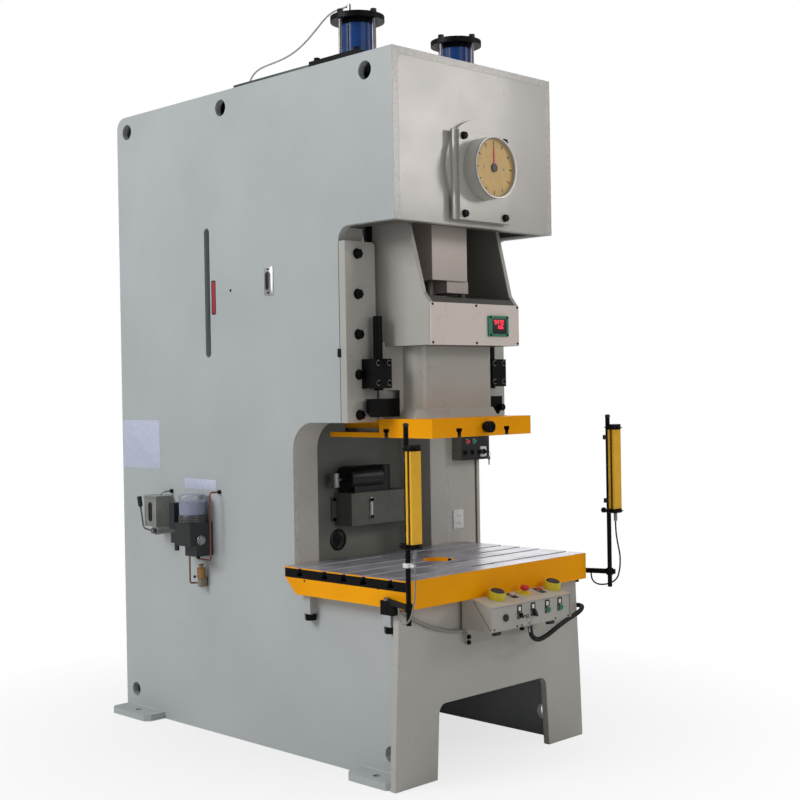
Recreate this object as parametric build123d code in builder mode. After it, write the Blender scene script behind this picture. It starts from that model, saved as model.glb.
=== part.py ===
from build123d import *
import math
import os

# Open-fronted mechanical stamping press: a welded C-frame, a crank-driven slide, a bolster and its controls.
# X is to the right, Y to the back and Z up, in millimetres. The origin is on the floor, at the centre of
# the four anchor holes.

os.makedirs("parts", exist_ok=True)

# Frame
frame_width = 1000.0
frame_height = 2965.0
side_thick = 32.0
plate_thick = 30.0
head_reach = 300.0
rear_reach = 1670.0
throat_depth = 350.0
guide_setback = 36.0
recess_depth = 550.0
back_wall_thick = 25.0
column_gap = 720.0
column_inner_thick = 25.0
head_depth = 695.0
guide_length = 820.0
bed_z = 720.0
roof_corner_radius = 60.0
head_corner_radius = 60.0
throat_corner_radius = 125.0
lifting_hole_radius = 38.0
lifting_hole_drop = 75.0
lifting_hole_places = (rear_reach - 86, 822.0, -141.0)
drain_hole_radius = 34.0
drain_hole_z = 109.0
drain_hole_places = (rear_reach - 82, -230.0)
gauge_slot_place = 943.0
gauge_slot_width = 40.0
gauge_slot_drop = 522.0
gauge_slot_length = 602.0
bearing_wall_place = 300.0
gear_wall_place = 752.0
gear_wall_drop = 149.0
floor_opening_half = 400.0
floor_opening_front = 240.0
floor_opening_rear = 280.0

# Feet and anchors
anchor_pitch_x = 1100.0
anchor_pitch_y = 1690.0
anchor_lead = 197.0
anchor_hole_radius = 18.0
pad_width = 105.0
pad_thick = 30.0
pad_front_length = 263.0
pad_rear_length = 312.0
pad_rear_inset = 10.0
pad_corner = 25.0

# Bed and bolster
bed_reach = 353.0
bed_half_foot = 600.0
bed_half_knee = 589.0
bed_knee_z = 270.0
bed_half_shoulder = 570.0
bed_shoulder_z = 610.0
bed_half_top = 565.0
leg_half_foot = 360.0
leg_half_top = 342.0
leg_top_z = 304.0
leg_corner_radius = 40.0
scrap_opening_x = 400.0
scrap_opening_y = 320.0
bolster_half = 570.0
bolster_reach = 410.0
bolster_back = 335.0
bolster_thick = 115.0
bolster_bevel_y = 72.0
bolster_bevel_z = 70.0
bolster_hole_radius = 70.0
bolster_hole_back = -37.0
slot_neck_width = 22.0
slot_neck_depth = 23.0
slot_head_width = 35.0
slot_head_depth = 15.0
bolster_slot_places = (-312.0, -155.0, -37.0, 81.0, 238.0)
lug_proud = 40.0
lug_width = 44.0
lug_height = 85.0
lug_places = (-257.0, 230.0)
lug_bolt_flats = 36.0
lug_bolt_height = 28.0

# Guides and gibs
guide_clearance = 0.1
gib_thick = 40.0
gib_lip = 32.0
gib_bevel = 45.0
gib_bolt_x = 437.0
gib_bolt_lead = 32.0
gib_bolt_pitch = 169.0
gib_bolt_count = 5
gib_bolt_flats = 36.0
gib_bolt_height = 18.0

# Slide
slide_overhang = 68.0
stroke = 160.0
adjustment = 90.0
slide_plate_half = 315.0
slide_plate_reach = 312.0
slide_plate_thick = 80.0
slide_flange_thick = 22.0
slide_pad_half = 255.0
slide_pad_back = 280.0
slide_slot_x = 152.0
slide_slot_back = -42.0
shank_hole_radius = 25.0
shank_hole_depth = 70.0
slide_half = 240.0
slide_reach = 176.0
slide_corner_radius = 55.0
slide_shoulder_reach = 75.0
slide_neck_half = 320.0
slide_neck_reach = 10.0
slide_flare = 22.0
slide_flare_height = 40.0
ear_back = 300.0
ear_lift = 13.0
ear_height = 675.0
ear_post_width = 110.0
ear_wall_thick = 60.0
box_floor_rise = 307.0
box_floor_thick = 20.0
box_half_back = 303.0
box_half_front = 283.0
box_reach = 276.0
cheek_thick = 20.0
cheek_top_rise = 888.0
cheek_top_reach = 150.0
cheek_bend_rise = 792.0
cheek_bend_reach = 173.0
cheek_shoulder_rise = 527.0
cheek_shoulder_reach = 242.0
cover_top_rise = 484.0
cover_half = 281.0
cover_thick = 6.0
display_centre_x = 137.0
display_rise = 391.0
display_width = 131.0
display_height = 89.0
display_proud = 8.0
display_frame = 8.0
display_recess = 2.5

# Knock-out
knockout_reach = 45.0
knockout_bar_thick = 38.0
knockout_bar_height = 77.0
knockout_bar_half = 414.0
knockout_bar_lift = 9.0
knockout_bar_bevel = 22.0
knockout_travel = 35.0
knockout_clearance = 0.3
stop_block_inner = 322.0
stop_block_outer = 415.0
stop_block_depth = 85.0
stop_block_rise = 142.0
stop_block_height = 124.0
stop_rod_x = 358.0
stop_rod_radius = 20.0
stop_rod_rise = 446.0

# Crank, connection and screw
crank_drop = 454.0
journal_radius = 75.0
pin_radius = 75.0
pin_half_length = 140.0
web_radius = 95.0
web_thick = 95.0
crank_rear = 860.0
running_clearance = 0.05
housing_wall = 40.0
housing_front_length = 62.0
housing_rear_length = 80.0
housing_gear_length = 60.0
rod_half_x = 111.0
rod_half_y = 133.0
rod_bottom_rise = 593.0
strap_wall = 35.0
strap_side_clearance = 3.0
strap_end_clearance = 20.0
nut_half = 56.0
nut_height = 52.0
nut_offset = 50.0
screw_radius = 45.0
screw_ball_radius = 68.0
screw_ball_rise = 406.0
screw_engagement = 200.0
screw_ring_radius = 100.0
screw_ring_thick = 44.0
screw_ring_drop = 12.0
seat_radius = 112.0

# Gear train and flywheel
gear_module = 11.0
gear_teeth = 70
pinion_teeth = 14
gear_addendum = 0.8
gear_dedendum = 1.05
gear_backlash = 1.2
pressure_angle = 20.0
gear_place = 620.0
gear_face = 120.0
gear_web_thick = 60.0
gear_hub_radius = 125.0
pinion_place = 610.0
pinion_face = 140.0
shaft_radius = 45.0
shaft_front = 540.0
shaft_rear = 1300.0
shaft_housing_length = 60.0
flywheel_radius = 430.0
flywheel_place = 1020.0
flywheel_width = 180.0
flywheel_rim = 80.0
flywheel_web = 50.0
flywheel_hub_radius = 110.0
brake_radius = 150.0
brake_thick = 60.0
motor_drop = 899.0
motor_radius = 140.0
motor_place = 640.0
motor_length = 360.0
motor_shaft_radius = 24.0
motor_foot_half = 150.0
shelf_half = 260.0
shelf_thick = 20.0
pulley_radius = 80.0
pulley_place = 1030.0
pulley_width = 160.0
belt_thick = 11.0
belt_gap = 0.3

# Crank end cover and angle dial
boss_radius = 212.0
boss_thick = 18.0
cover_plate_half = 183.0
cover_plate_thick = 10.0
dial_plate_half = 157.0
dial_plate_thick = 14.0
dial_plate_drop = 221.0
dial_plate_rise = 154.0
dial_bolt_x = 128.0
dial_bolt_inset = 25.0
dial_bolt_flats = 27.0
dial_bolt_height = 14.0
dial_radius = 130.0
dial_depth = 68.0
dial_rim = 9.0
dial_recess = 15.0
nose_radius = 12.0
nose_clearance = 1.0
pointer_length = 95.0
pointer_hub_radius = 18.0
pointer_hub_thick = 6.0
pointer_half_width = 7.0
pointer_thick = 3.0

# Balance cylinders
balancer_x = 312.0
balancer_back = 95.0
balancer_radius = 69.0
balancer_bore = 62.0
balancer_sink = 135.0
balancer_floor = 20.0
balancer_rise = 200.0
balancer_cap_radius = 117.0
balancer_cap_thick = 23.0
balancer_base_half = 150.0
balancer_base_thick = 35.0
balancer_base_bolt = 125.0
tie_rod_circle = 100.0
tie_rod_radius = 8.0
tie_nut_flats = 24.0
tie_nut_height = 16.0
piston_rod_radius = 20.0
piston_thick = 40.0
piston_drop = 15.0
seat_gap = 0.2
air_fitting_radius = 8.0
air_cap_x = -345.0
air_cap_place = 110.0
air_cap_rise = 76.0
air_stub_length = 14.0
air_stub_radius = 6.0
air_roof_x = -385.0
air_roof_place = 748.0
air_roof_rise = 20.0

# Rear plates
rear_cover_thick = 12.0
rear_cover_bottom_z = 700.0
rear_cover_drop = 265.0
louvre_count = 7
louvre_width = 420.0
louvre_height = 14.0
louvre_pitch = 44.0
louvre_first_z = 1150.0

# Electric cabinet on the right side plate
cabinet_depth = 177.0
cabinet_length = 800.0
cabinet_bottom_z = 700.0
cabinet_height = 1200.0
cabinet_wall = 5.0
cabinet_seal = 16.0
cabinet_seal_inset = 14.0
door_thick = 19.0
door_skin = 4.0
door_hinge_radius = 7.0
door_hinge_length = 90.0
lamp_box_inset = 15.0
lamp_box_width = 169.0
lamp_box_depth = 60.0
lamp_box_bottom_z = 1235.0
lamp_box_height = 165.0

# Light curtains
post_x = 645.0
post_reach = 487.0
post_radius = 10.0
post_bottom_z = 681.0
post_top_z = 1452.0
curtain_width = 53.0
curtain_depth = 32.0
curtain_offset = 36.0
curtain_bottoms = (996.0, 1035.0)
curtain_height = 355.0
curtain_groove = 6.0
plug_length = 55.0
plug_radius = 8.0
arm_inner_x = 575.0
arm_inner_reach = 290.0
arm_outer_x = 655.0
arm_outer_reach = 510.0
arm_z = 750.0
arm_height = 22.0
arm_thick = 10.0
arm_block_length = 71.0
arm_block_proud = 26.0
arm_block_height = 57.0
cable_end_x = 616.5
cable_end_reach = 404.0

# Control box
panel_left_x = -217.0
panel_right_x = 295.0
panel_back_reach = 370.0
panel_reach = 532.0
panel_bottom_z = 597.0
panel_fold_z = 700.0
panel_crease_reach = 428.0
panel_crease_z = 725.0
panel_gap = 1.0
hanger_inset = 30.0
hanger_drop = 70.0
panel_foot_x = (-187.0, 159.0)
panel_foot_radius = 11.0
panel_foot_height = 15.0
button_line = 72.0
palm_places = (-106.0, 257.0)
palm_ring_radius = 36.0
palm_ring_height = 32.0
palm_cap_radius = 31.0
palm_cap_proud = 5.0
palm_travel = 6.0
cap_clearance = 0.4
stop_place = 70.0
stop_disc_radius = 29.0
stop_disc_height = 4.0
stop_collar_radius = 11.0
stop_collar_height = 14.0
stop_cap_radius = 19.0
stop_cap_height = 14.0
stop_travel = 5.0
stop_stem_radius = 7.0
top_button_places = (-8.0, 173.0)
front_row_z = 648.0
green_places = (138.0, 222.0)
key_place = -43.0
selector_place = 44.0
pilot_place = -132.0
bezel_radius = 15.0
bezel_height = 6.0
button_radius = 11.5
button_proud = 4.0
button_travel = 3.0
legend_width = 30.0
legend_length = 56.0
legend_thick = 1.5
knob_height = 12.0
knob_handle_length = 36.0

# Overload unit in the throat recess
tank_left_x = -84.0
tank_right_x = 300.0
tank_depth = 120.0
tank_bottom_z = 958.0
tank_top_z = 1109.0
tank_ear = 23.0
pump_radius = 58.0
pump_left_x = -70.0
pump_right_x = 130.0
hose_hole_x = -64.0
hose_hole_z = 887.0
hose_hole_radius = 40.0

# Hand pump and lubrication pump on the left side plate
hand_pump_place = 1246.0
hand_pump_width = 96.0
hand_pump_bracket = 12.0
hand_pump_depth = 88.0
hand_pump_bottom_z = 950.0
hand_pump_height = 137.0
hand_pump_lid_thick = 8.0
hand_pump_lid_lip = 4.0
lever_axle_place = 1252.0
lever_axle_lead = 12.0
lever_axle_drop = 18.0
lever_seat_width = 28.0
lever_boss_radius = 20.0
lever_pin_radius = 6.0
lever_pin_length = 20.0
lever_hub_radius = 13.0
lever_hub_gap = 0.3
lever_rod_radius = 4.0
lever_bend_back = 78.0
lever_bend_rise = 10.0
lever_bend_radius = 16.0
lever_top_back = 100.0
lever_top_rise = 112.0
lever_grip_radius = 11.0
lever_grip_length = 48.0
lube_place = 995.0
lube_out = 70.0
lube_base_half = 60.0
lube_base_bottom_z = 829.0
lube_base_top_z = 985.0
lube_step_height = 50.0
lube_plug_outer = 45.0
lube_plug_inner = 15.0
lube_plug_length = 52.0
lube_plug_drop = 51.0
lube_plug_height = 48.0
lube_lead_radius = 11.0
lube_lead_length = 36.0
lube_neck_half = 12.0
lube_neck_length = 22.0
lube_box_place = 1113.0
lube_box_length = 40.0
lube_box_width = 50.0
lube_box_outer = 20.0
lube_box_drop = 39.0
lube_box_height = 124.0
lube_box_plate = 12.0
lube_box_plate_outer = 10.0
reservoir_radius = 60.0
reservoir_height = 128.0
valve_place = 990.0
valve_out = 30.0
valve_radius = 18.0
valve_bottom_z = 722.0
valve_height = 48.0
valve_bracket_half = 12.0
valve_bracket_drop = 42.0
pipe_radius = 4.0
pipe_out = 60.0
pipe_bend_radius = 12.0
feed_pipe_place = 874.0
feed_pipe_rise = 141.0
feed_pipe_drop = 14.0
drain_pipe_drop = 27.0

# Cords
air_tube_radius = 4.0
curtain_cable_radius = 3.5
panel_hose_radius = 10.5
panel_conduit_radius = 8.0

# Places worked out from the sizes above. The heights hang from the top of the frame, and the die space,
# 547 mm at the top of the stroke, is what they leave above the bolster.
half_width = frame_width / 2
inner_half = half_width - side_thick
column_half = column_gap / 2
ram_y = anchor_lead - anchor_pitch_y / 2
roof_under_z = frame_height - plate_thick
bolster_top_z = bed_z + bolster_thick
head_under_z = frame_height - head_depth
guide_under_z = head_under_z - guide_length
gib_top_z = head_under_z - head_corner_radius
slide_bottom_z = guide_under_z - slide_overhang
slide_seat_z = slide_bottom_z + slide_plate_thick
ear_half = column_half - guide_clearance
box_floor_z = slide_seat_z + box_floor_rise
cheek_top_z = slide_seat_z + cheek_top_rise
cover_top_z = slide_seat_z + cover_top_rise
stop_block_bottom_z = guide_under_z + stop_block_rise
crank_z = frame_height - crank_drop
rod_bottom_z = slide_seat_z + rod_bottom_rise
screw_ball_z = slide_seat_z + screw_ball_rise
ear_bottom_z = slide_seat_z + ear_lift
ear_top_z = ear_bottom_z + ear_height
knockout_bar_z = slide_seat_z + knockout_bar_lift + knockout_clearance
knockout_bar_top_z = knockout_bar_z + knockout_bar_height
throw = stroke / 2
centre_distance = gear_module * (gear_teeth + pinion_teeth) / 2
shaft_z = crank_z - centre_distance
motor_z = shaft_z - motor_drop
journal_bore = journal_radius + running_clearance
housing_radius = journal_bore + housing_wall
shaft_bore = shaft_radius + running_clearance
dial_plate_front = ram_y - head_reach - boss_thick - cover_plate_thick - dial_plate_thick
dial_plate_bottom_z = crank_z - dial_plate_drop
dial_plate_top_z = crank_z + dial_plate_rise
balancer_bottom_z = frame_height - balancer_sink
balancer_cap_z = frame_height + balancer_rise
air_cap_top_z = balancer_cap_z + air_cap_rise
air_roof_z = frame_height + air_roof_rise
rear_cover_top_z = frame_height - rear_cover_drop


def behind(distance):
    """Return the Y of a place that lies so far behind the slide's centre line."""
    return ram_y + distance


def block(x0, x1, y0, y1, z0, z1, mode=Mode.ADD):
    """Add a plain rectangular block between six faces."""
    with Locations(((x0 + x1) / 2, (y0 + y1) / 2, (z0 + z1) / 2)):
        return Box(abs(x1 - x0), abs(y1 - y0), abs(z1 - z0), mode=mode)


def bar_along_x(x0, x1, y, z, radius, mode=Mode.ADD):
    """Add a round bar that runs along X."""
    with Locations(((x0 + x1) / 2, y, z)):
        return Cylinder(radius, abs(x1 - x0), rotation=(0, 90, 0), mode=mode)


def bar_along_y(x, y0, y1, z, radius, mode=Mode.ADD):
    """Add a round bar that runs along Y."""
    with Locations((x, (y0 + y1) / 2, z)):
        return Cylinder(radius, abs(y1 - y0), rotation=(90, 0, 0), mode=mode)


def bar_along_z(x, y, z0, z1, radius, mode=Mode.ADD):
    """Add a round bar that stands upright."""
    with Locations((x, y, (z0 + z1) / 2)):
        return Cylinder(radius, abs(z1 - z0), mode=mode)


def facing_front(y):
    """Return the plane at this Y that looks to the front, with X to the right and Z up."""
    return Plane.XZ.offset(-y)


# Side plates, each with its foot pads and its bolster lugs
for side_name, side in (("left", -1), ("right", 1)):
    with BuildPart() as side_plate:
        with BuildSketch(Plane.YZ.offset(half_width * side)):
            with BuildLine():
                FilletPolyline(
                    (behind(rear_reach), 0),
                    (behind(rear_reach), frame_height),
                    (behind(-head_reach), frame_height),
                    (behind(-head_reach), head_under_z),
                    (behind(guide_setback), head_under_z),
                    (behind(guide_setback), guide_under_z),
                    (behind(throat_depth), guide_under_z),
                    (behind(throat_depth), bed_z),
                    (behind(plate_thick - bed_reach), bed_z),
                    (behind(plate_thick - bed_reach), 0),
                    radius=[0, roof_corner_radius, 0, 0, head_corner_radius, 0, throat_corner_radius, 0, 0, 0],
                    close=True,
                )
            make_face()
            lifting_z = frame_height - lifting_hole_drop
            with Locations(*[(behind(place), lifting_z) for place in lifting_hole_places]):
                Circle(lifting_hole_radius, mode=Mode.SUBTRACT)
            with Locations(*[(behind(place), drain_hole_z) for place in drain_hole_places]):
                Circle(drain_hole_radius, mode=Mode.SUBTRACT)
            if side < 0:
                with Locations((behind(gauge_slot_place), head_under_z - gauge_slot_drop + gauge_slot_length / 2)):
                    SlotOverall(gauge_slot_length, gauge_slot_width, rotation=90, mode=Mode.SUBTRACT)
        extrude(amount=-side_thick * side)
        pad_front_y = behind(plate_thick - bed_reach)
        pad_rear_y = behind(rear_reach - pad_rear_inset)
        for pad_y0, pad_y1, anchor_y in (
            (pad_front_y, pad_front_y + pad_front_length, -anchor_pitch_y / 2),
            (pad_rear_y - pad_rear_length, pad_rear_y, anchor_pitch_y / 2),
        ):
            outer = (half_width + pad_width) * side
            shoulder = (half_width + pad_width - pad_corner) * side
            with BuildSketch(Plane.XY):
                with BuildLine():
                    Polyline(
                        (half_width * side, pad_y0),
                        (shoulder, pad_y0),
                        (outer, pad_y0 + pad_corner),
                        (outer, pad_y1 - pad_corner),
                        (shoulder, pad_y1),
                        (half_width * side, pad_y1),
                        close=True,
                    )
                make_face()
                with Locations((anchor_pitch_x / 2 * side, anchor_y)):
                    Circle(anchor_hole_radius, mode=Mode.SUBTRACT)
            extrude(amount=pad_thick)
        for place in lug_places:
            block(
                half_width * side,
                (half_width + lug_proud) * side,
                behind(place - lug_width / 2),
                behind(place + lug_width / 2),
                bed_z - lug_height,
                bed_z,
            )
    if side < 0:
        side_plate.part.label = "side_plate_left"
        export_step(side_plate.part, "parts/side_plate_left.step")
    else:
        side_plate.part.label = "side_plate_right"
        export_step(side_plate.part, "parts/side_plate_right.step")

# Head front plate: the crank's front bearing behind it, and the round boss and the dial's plates before it
with BuildPart() as head_front:
    front_y = behind(-head_reach)
    block(-inner_half, inner_half, front_y, front_y + plate_thick, head_under_z, roof_under_z)
    bar_along_y(0, front_y + plate_thick, front_y + housing_front_length, crank_z, housing_radius)
    bar_along_y(0, front_y, front_y + housing_front_length, crank_z, journal_bore, mode=Mode.SUBTRACT)
    cover_rear = behind(-head_reach)
    bar_along_y(0, cover_rear - boss_thick, cover_rear, crank_z, boss_radius)
    block(
        -cover_plate_half,
        cover_plate_half,
        cover_rear - boss_thick - cover_plate_thick,
        cover_rear - boss_thick,
        dial_plate_bottom_z,
        dial_plate_top_z,
    )
    block(
        -dial_plate_half,
        dial_plate_half,
        dial_plate_front,
        dial_plate_front + dial_plate_thick,
        dial_plate_bottom_z,
        dial_plate_top_z,
    )
    bar_along_y(0, dial_plate_front, cover_rear, crank_z, nose_radius + nose_clearance, mode=Mode.SUBTRACT)
head_front.part.label = "head_front"
export_step(head_front.part, "parts/head_front.step")

# Roof, rolled over the rear top corner
with BuildPart() as head_roof:
    with BuildSketch(Plane.YZ.offset(-inner_half)):
        with BuildLine():
            FilletPolyline(
                (behind(-head_reach), frame_height),
                (behind(rear_reach), frame_height),
                (behind(rear_reach), rear_cover_top_z),
                (behind(rear_reach - plate_thick), rear_cover_top_z),
                (behind(rear_reach - plate_thick), roof_under_z),
                (behind(-head_reach), roof_under_z),
                radius=[0, roof_corner_radius, 0, 0, roof_corner_radius - plate_thick, 0],
                close=True,
            )
        make_face()
    extrude(amount=2 * inner_half)
    for side in (-1, 1):
        bar_along_z(
            balancer_x * side,
            behind(balancer_back),
            roof_under_z,
            frame_height,
            balancer_radius + seat_gap,
            mode=Mode.SUBTRACT,
        )
head_roof.part.label = "head_roof"
export_step(head_roof.part, "parts/head_roof.step")

# Inner plates of the head: a floor that is open for the slide and its connection, the bearing wall behind
# the crank pin, and the wall behind the main gear that also carries the pinion shaft
with BuildPart() as head_plates:
    with BuildSketch(Plane.XY.offset(head_under_z)):
        with BuildLine():
            Polyline(
                (-inner_half, behind(plate_thick - head_reach)),
                (inner_half, behind(plate_thick - head_reach)),
                (inner_half, behind(recess_depth)),
                (-inner_half, behind(recess_depth)),
                close=True,
            )
        make_face()
        with Locations((0, behind((floor_opening_rear - floor_opening_front) / 2))):
            Rectangle(2 * floor_opening_half, floor_opening_front + floor_opening_rear, mode=Mode.SUBTRACT)
    extrude(amount=plate_thick)
    wall_y = behind(bearing_wall_place)
    gear_wall_y = behind(gear_wall_place)
    block(-inner_half, inner_half, wall_y, wall_y + plate_thick, head_under_z + plate_thick, roof_under_z)
    block(-inner_half, inner_half, gear_wall_y, gear_wall_y + plate_thick, shaft_z - gear_wall_drop, roof_under_z)
    for housing_y, housing_length in (
        (wall_y + (plate_thick - housing_rear_length) / 2, housing_rear_length),
        (gear_wall_y, housing_gear_length),
    ):
        bar_along_y(0, housing_y, housing_y + housing_length, crank_z, housing_radius)
        bar_along_y(0, housing_y, housing_y + housing_length, crank_z, journal_bore, mode=Mode.SUBTRACT)
    bar_along_y(0, gear_wall_y, gear_wall_y + shaft_housing_length, shaft_z, shaft_bore + housing_wall)
    bar_along_y(0, gear_wall_y, gear_wall_y + shaft_housing_length, shaft_z, shaft_bore, mode=Mode.SUBTRACT)
head_plates.part.label = "head_plates"
export_step(head_plates.part, "parts/head_plates.step")

# Recessed wall between the columns, from the floor up to the head, and the bed's top plate that meets it
with BuildPart() as back_wall:
    wall_y = behind(recess_depth)
    block(-inner_half, inner_half, wall_y, wall_y + back_wall_thick, 0, head_under_z + plate_thick)
    housing_y = wall_y + (back_wall_thick - shaft_housing_length) / 2
    bar_along_y(0, housing_y, housing_y + shaft_housing_length, shaft_z, shaft_bore + housing_wall)
    bar_along_y(0, housing_y, housing_y + shaft_housing_length, shaft_z, shaft_bore, mode=Mode.SUBTRACT)
    bar_along_y(hose_hole_x, wall_y, wall_y + back_wall_thick, hose_hole_z, hose_hole_radius, mode=Mode.SUBTRACT)
    with BuildSketch(Plane.XY.offset(bed_z - plate_thick)):
        bed_top_front = behind(plate_thick - bed_reach)
        bed_top_rear = behind(recess_depth)
        with Locations((0, (bed_top_front + bed_top_rear) / 2)):
            Rectangle(2 * inner_half, bed_top_rear - bed_top_front)
        with Locations((0, behind(bolster_hole_back))):
            Rectangle(scrap_opening_x, scrap_opening_y, mode=Mode.SUBTRACT)
    extrude(amount=plate_thick)
back_wall.part.label = "back_wall"
export_step(back_wall.part, "parts/back_wall.step")

# Throat columns: on each side a rolled front plate, an inner plate and the guide block above them
with BuildPart() as throat_columns:
    for side in (-1, 1):
        with BuildSketch(Plane.YZ.offset(column_half * side)):
            with BuildLine():
                FilletPolyline(
                    (behind(throat_depth), bed_z),
                    (behind(throat_depth), guide_under_z),
                    (behind(guide_setback), guide_under_z),
                    (behind(guide_setback), guide_under_z + plate_thick),
                    (behind(throat_depth + plate_thick), guide_under_z + plate_thick),
                    (behind(throat_depth + plate_thick), bed_z),
                    radius=[0, throat_corner_radius, 0, 0, throat_corner_radius + plate_thick, 0],
                    close=True,
                )
            make_face()
        extrude(amount=(inner_half - column_half) * side)
        block(
            column_half * side,
            (column_half + column_inner_thick) * side,
            behind(throat_depth + plate_thick),
            behind(recess_depth),
            bed_z,
            head_under_z,
        )
        block(
            column_half * side,
            inner_half * side,
            behind(guide_setback),
            behind(throat_depth + plate_thick),
            guide_under_z + plate_thick,
            head_under_z,
        )
throat_columns.part.label = "throat_columns"
export_step(throat_columns.part, "parts/throat_columns.step")

# Gibs that close the guides at the front
with BuildPart() as gibs:
    for side in (-1, 1):
        gib_inner = (column_half - gib_lip) * side
        gib_outer = half_width * side
        with BuildSketch(facing_front(behind(guide_setback))):
            with BuildLine():
                Polyline(
                    (gib_inner, guide_under_z),
                    (gib_outer, guide_under_z),
                    (gib_outer, gib_top_z),
                    (gib_inner + gib_bevel * side, gib_top_z),
                    (gib_inner, gib_top_z - gib_bevel),
                    close=True,
                )
            make_face()
        extrude(amount=gib_thick)
gibs.part.label = "gibs"
export_step(gibs.part, "parts/gibs.step")

# Bed front plate with its two legs
with BuildPart() as bed_front:
    with BuildSketch(facing_front(behind(plate_thick - bed_reach))):
        with BuildLine():
            Polyline(
                (-bed_half_foot, 0),
                (-bed_half_knee, bed_knee_z),
                (-bed_half_shoulder, bed_shoulder_z),
                (-bed_half_top, bed_z),
                (bed_half_top, bed_z),
                (bed_half_shoulder, bed_shoulder_z),
                (bed_half_knee, bed_knee_z),
                (bed_half_foot, 0),
                close=True,
            )
        make_face()
        with BuildLine():
            FilletPolyline(
                (-leg_half_foot, 0),
                (-leg_half_top, leg_top_z),
                (leg_half_top, leg_top_z),
                (leg_half_foot, 0),
                radius=[0, leg_corner_radius, leg_corner_radius, 0],
                close=True,
            )
        make_face(mode=Mode.SUBTRACT)
    extrude(amount=plate_thick)
bed_front.part.label = "bed_front"
export_step(bed_front.part, "parts/bed_front.step")

# Rear plate: a lower cross plate with an arch and an upper bolted cover with louvres
with BuildPart() as rear_plate:
    lower_y = behind(rear_reach)
    block(-inner_half, inner_half, lower_y - plate_thick, lower_y, 0, rear_cover_bottom_z)
    block(
        -leg_half_top,
        leg_half_top,
        lower_y - plate_thick,
        lower_y,
        0,
        leg_top_z,
        mode=Mode.SUBTRACT,
    )
    cover_front = lower_y - rear_cover_thick
    block(-inner_half, inner_half, cover_front, lower_y, rear_cover_bottom_z, rear_cover_top_z)
    for index in range(louvre_count):
        louvre_z = louvre_first_z + index * louvre_pitch
        block(
            -louvre_width / 2,
            louvre_width / 2,
            cover_front,
            lower_y,
            louvre_z,
            louvre_z + louvre_height,
            mode=Mode.SUBTRACT,
        )
rear_plate.part.label = "rear_plate"
export_step(rear_plate.part, "parts/rear_plate.step")

# Bolster with its clamping slots and the centre hole
with BuildPart() as bolster:
    with BuildSketch(Plane.YZ.offset(-bolster_half)):
        with BuildLine():
            Polyline(
                (behind(-bolster_reach), bed_z),
                (behind(-bolster_reach), bolster_top_z),
                (behind(bolster_back), bolster_top_z),
                (behind(bolster_back), bed_z + bolster_bevel_z),
                (behind(bolster_back - bolster_bevel_y), bed_z),
                close=True,
            )
        make_face()
        neck_z = bolster_top_z - slot_neck_depth / 2
        head_z = bolster_top_z - slot_neck_depth - slot_head_depth / 2
        with Locations(*[(behind(place), neck_z) for place in bolster_slot_places]):
            Rectangle(slot_neck_width, slot_neck_depth, mode=Mode.SUBTRACT)
        with Locations(*[(behind(place), head_z) for place in bolster_slot_places]):
            Rectangle(slot_head_width, slot_head_depth, mode=Mode.SUBTRACT)
    extrude(amount=2 * bolster_half)
    bar_along_z(0, behind(bolster_hole_back), bed_z, bolster_top_z, bolster_hole_radius, mode=Mode.SUBTRACT)
bolster.part.label = "bolster"
export_step(bolster.part, "parts/bolster.step")

# Bolt heads on the frame: lugs, gibs, dial plate and balance cylinder bases
with BuildPart() as frame_bolts:
    lug_bolt_places = [
        ((half_width + lug_proud / 2) * side, behind(place)) for side in (-1, 1) for place in lug_places
    ]
    with BuildSketch(Plane.XY.offset(bed_z - lug_height - lug_bolt_height)):
        with Locations(*lug_bolt_places):
            RegularPolygon(lug_bolt_flats / 2, 6, rotation=30, major_radius=False)
    extrude(amount=lug_bolt_height)
    gib_bolt_places = [
        (gib_bolt_x * side, guide_under_z + gib_bolt_lead + index * gib_bolt_pitch)
        for side in (-1, 1)
        for index in range(gib_bolt_count)
    ]
    with BuildSketch(facing_front(behind(guide_setback - gib_thick))):
        with Locations(*gib_bolt_places):
            RegularPolygon(gib_bolt_flats / 2, 6, major_radius=False)
    extrude(amount=gib_bolt_height)
    dial_bolt_places = [
        (dial_bolt_x * side, height)
        for side in (-1, 1)
        for height in (dial_plate_bottom_z + dial_bolt_inset, dial_plate_top_z - dial_bolt_inset)
    ]
    with BuildSketch(facing_front(dial_plate_front)):
        with Locations(*dial_bolt_places):
            RegularPolygon(dial_bolt_flats / 2, 6, major_radius=False)
    extrude(amount=dial_bolt_height)
    base_bolt_places = [
        (balancer_x * side + balancer_base_bolt * dx, behind(balancer_back) + balancer_base_bolt * dy)
        for side in (-1, 1)
        for dx in (-1, 1)
        for dy in (-1, 1)
    ]
    with BuildSketch(Plane.XY.offset(frame_height + balancer_base_thick)):
        with Locations(*base_bolt_places):
            RegularPolygon(tie_nut_flats / 2, 6, major_radius=False)
    extrude(amount=tie_nut_height)
frame_bolts.part.label = "frame_bolts"
export_step(frame_bolts.part, "parts/frame_bolts.step")

# Knock-out stops: a block on each gib with its threaded rod
with BuildPart() as knockout_stops:
    stop_rear = behind(guide_setback - gib_thick)
    for side in (-1, 1):
        block(
            stop_block_inner * side,
            stop_block_outer * side,
            stop_rear - stop_block_depth,
            stop_rear,
            stop_block_bottom_z,
            stop_block_bottom_z + stop_block_height,
        )
        bar_along_z(
            stop_rod_x * side,
            behind(-knockout_reach),
            knockout_bar_top_z + knockout_travel,
            guide_under_z + stop_rod_rise,
            stop_rod_radius,
        )
knockout_stops.part.label = "knockout_stops"
export_step(knockout_stops.part, "parts/knockout_stops.step")

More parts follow.
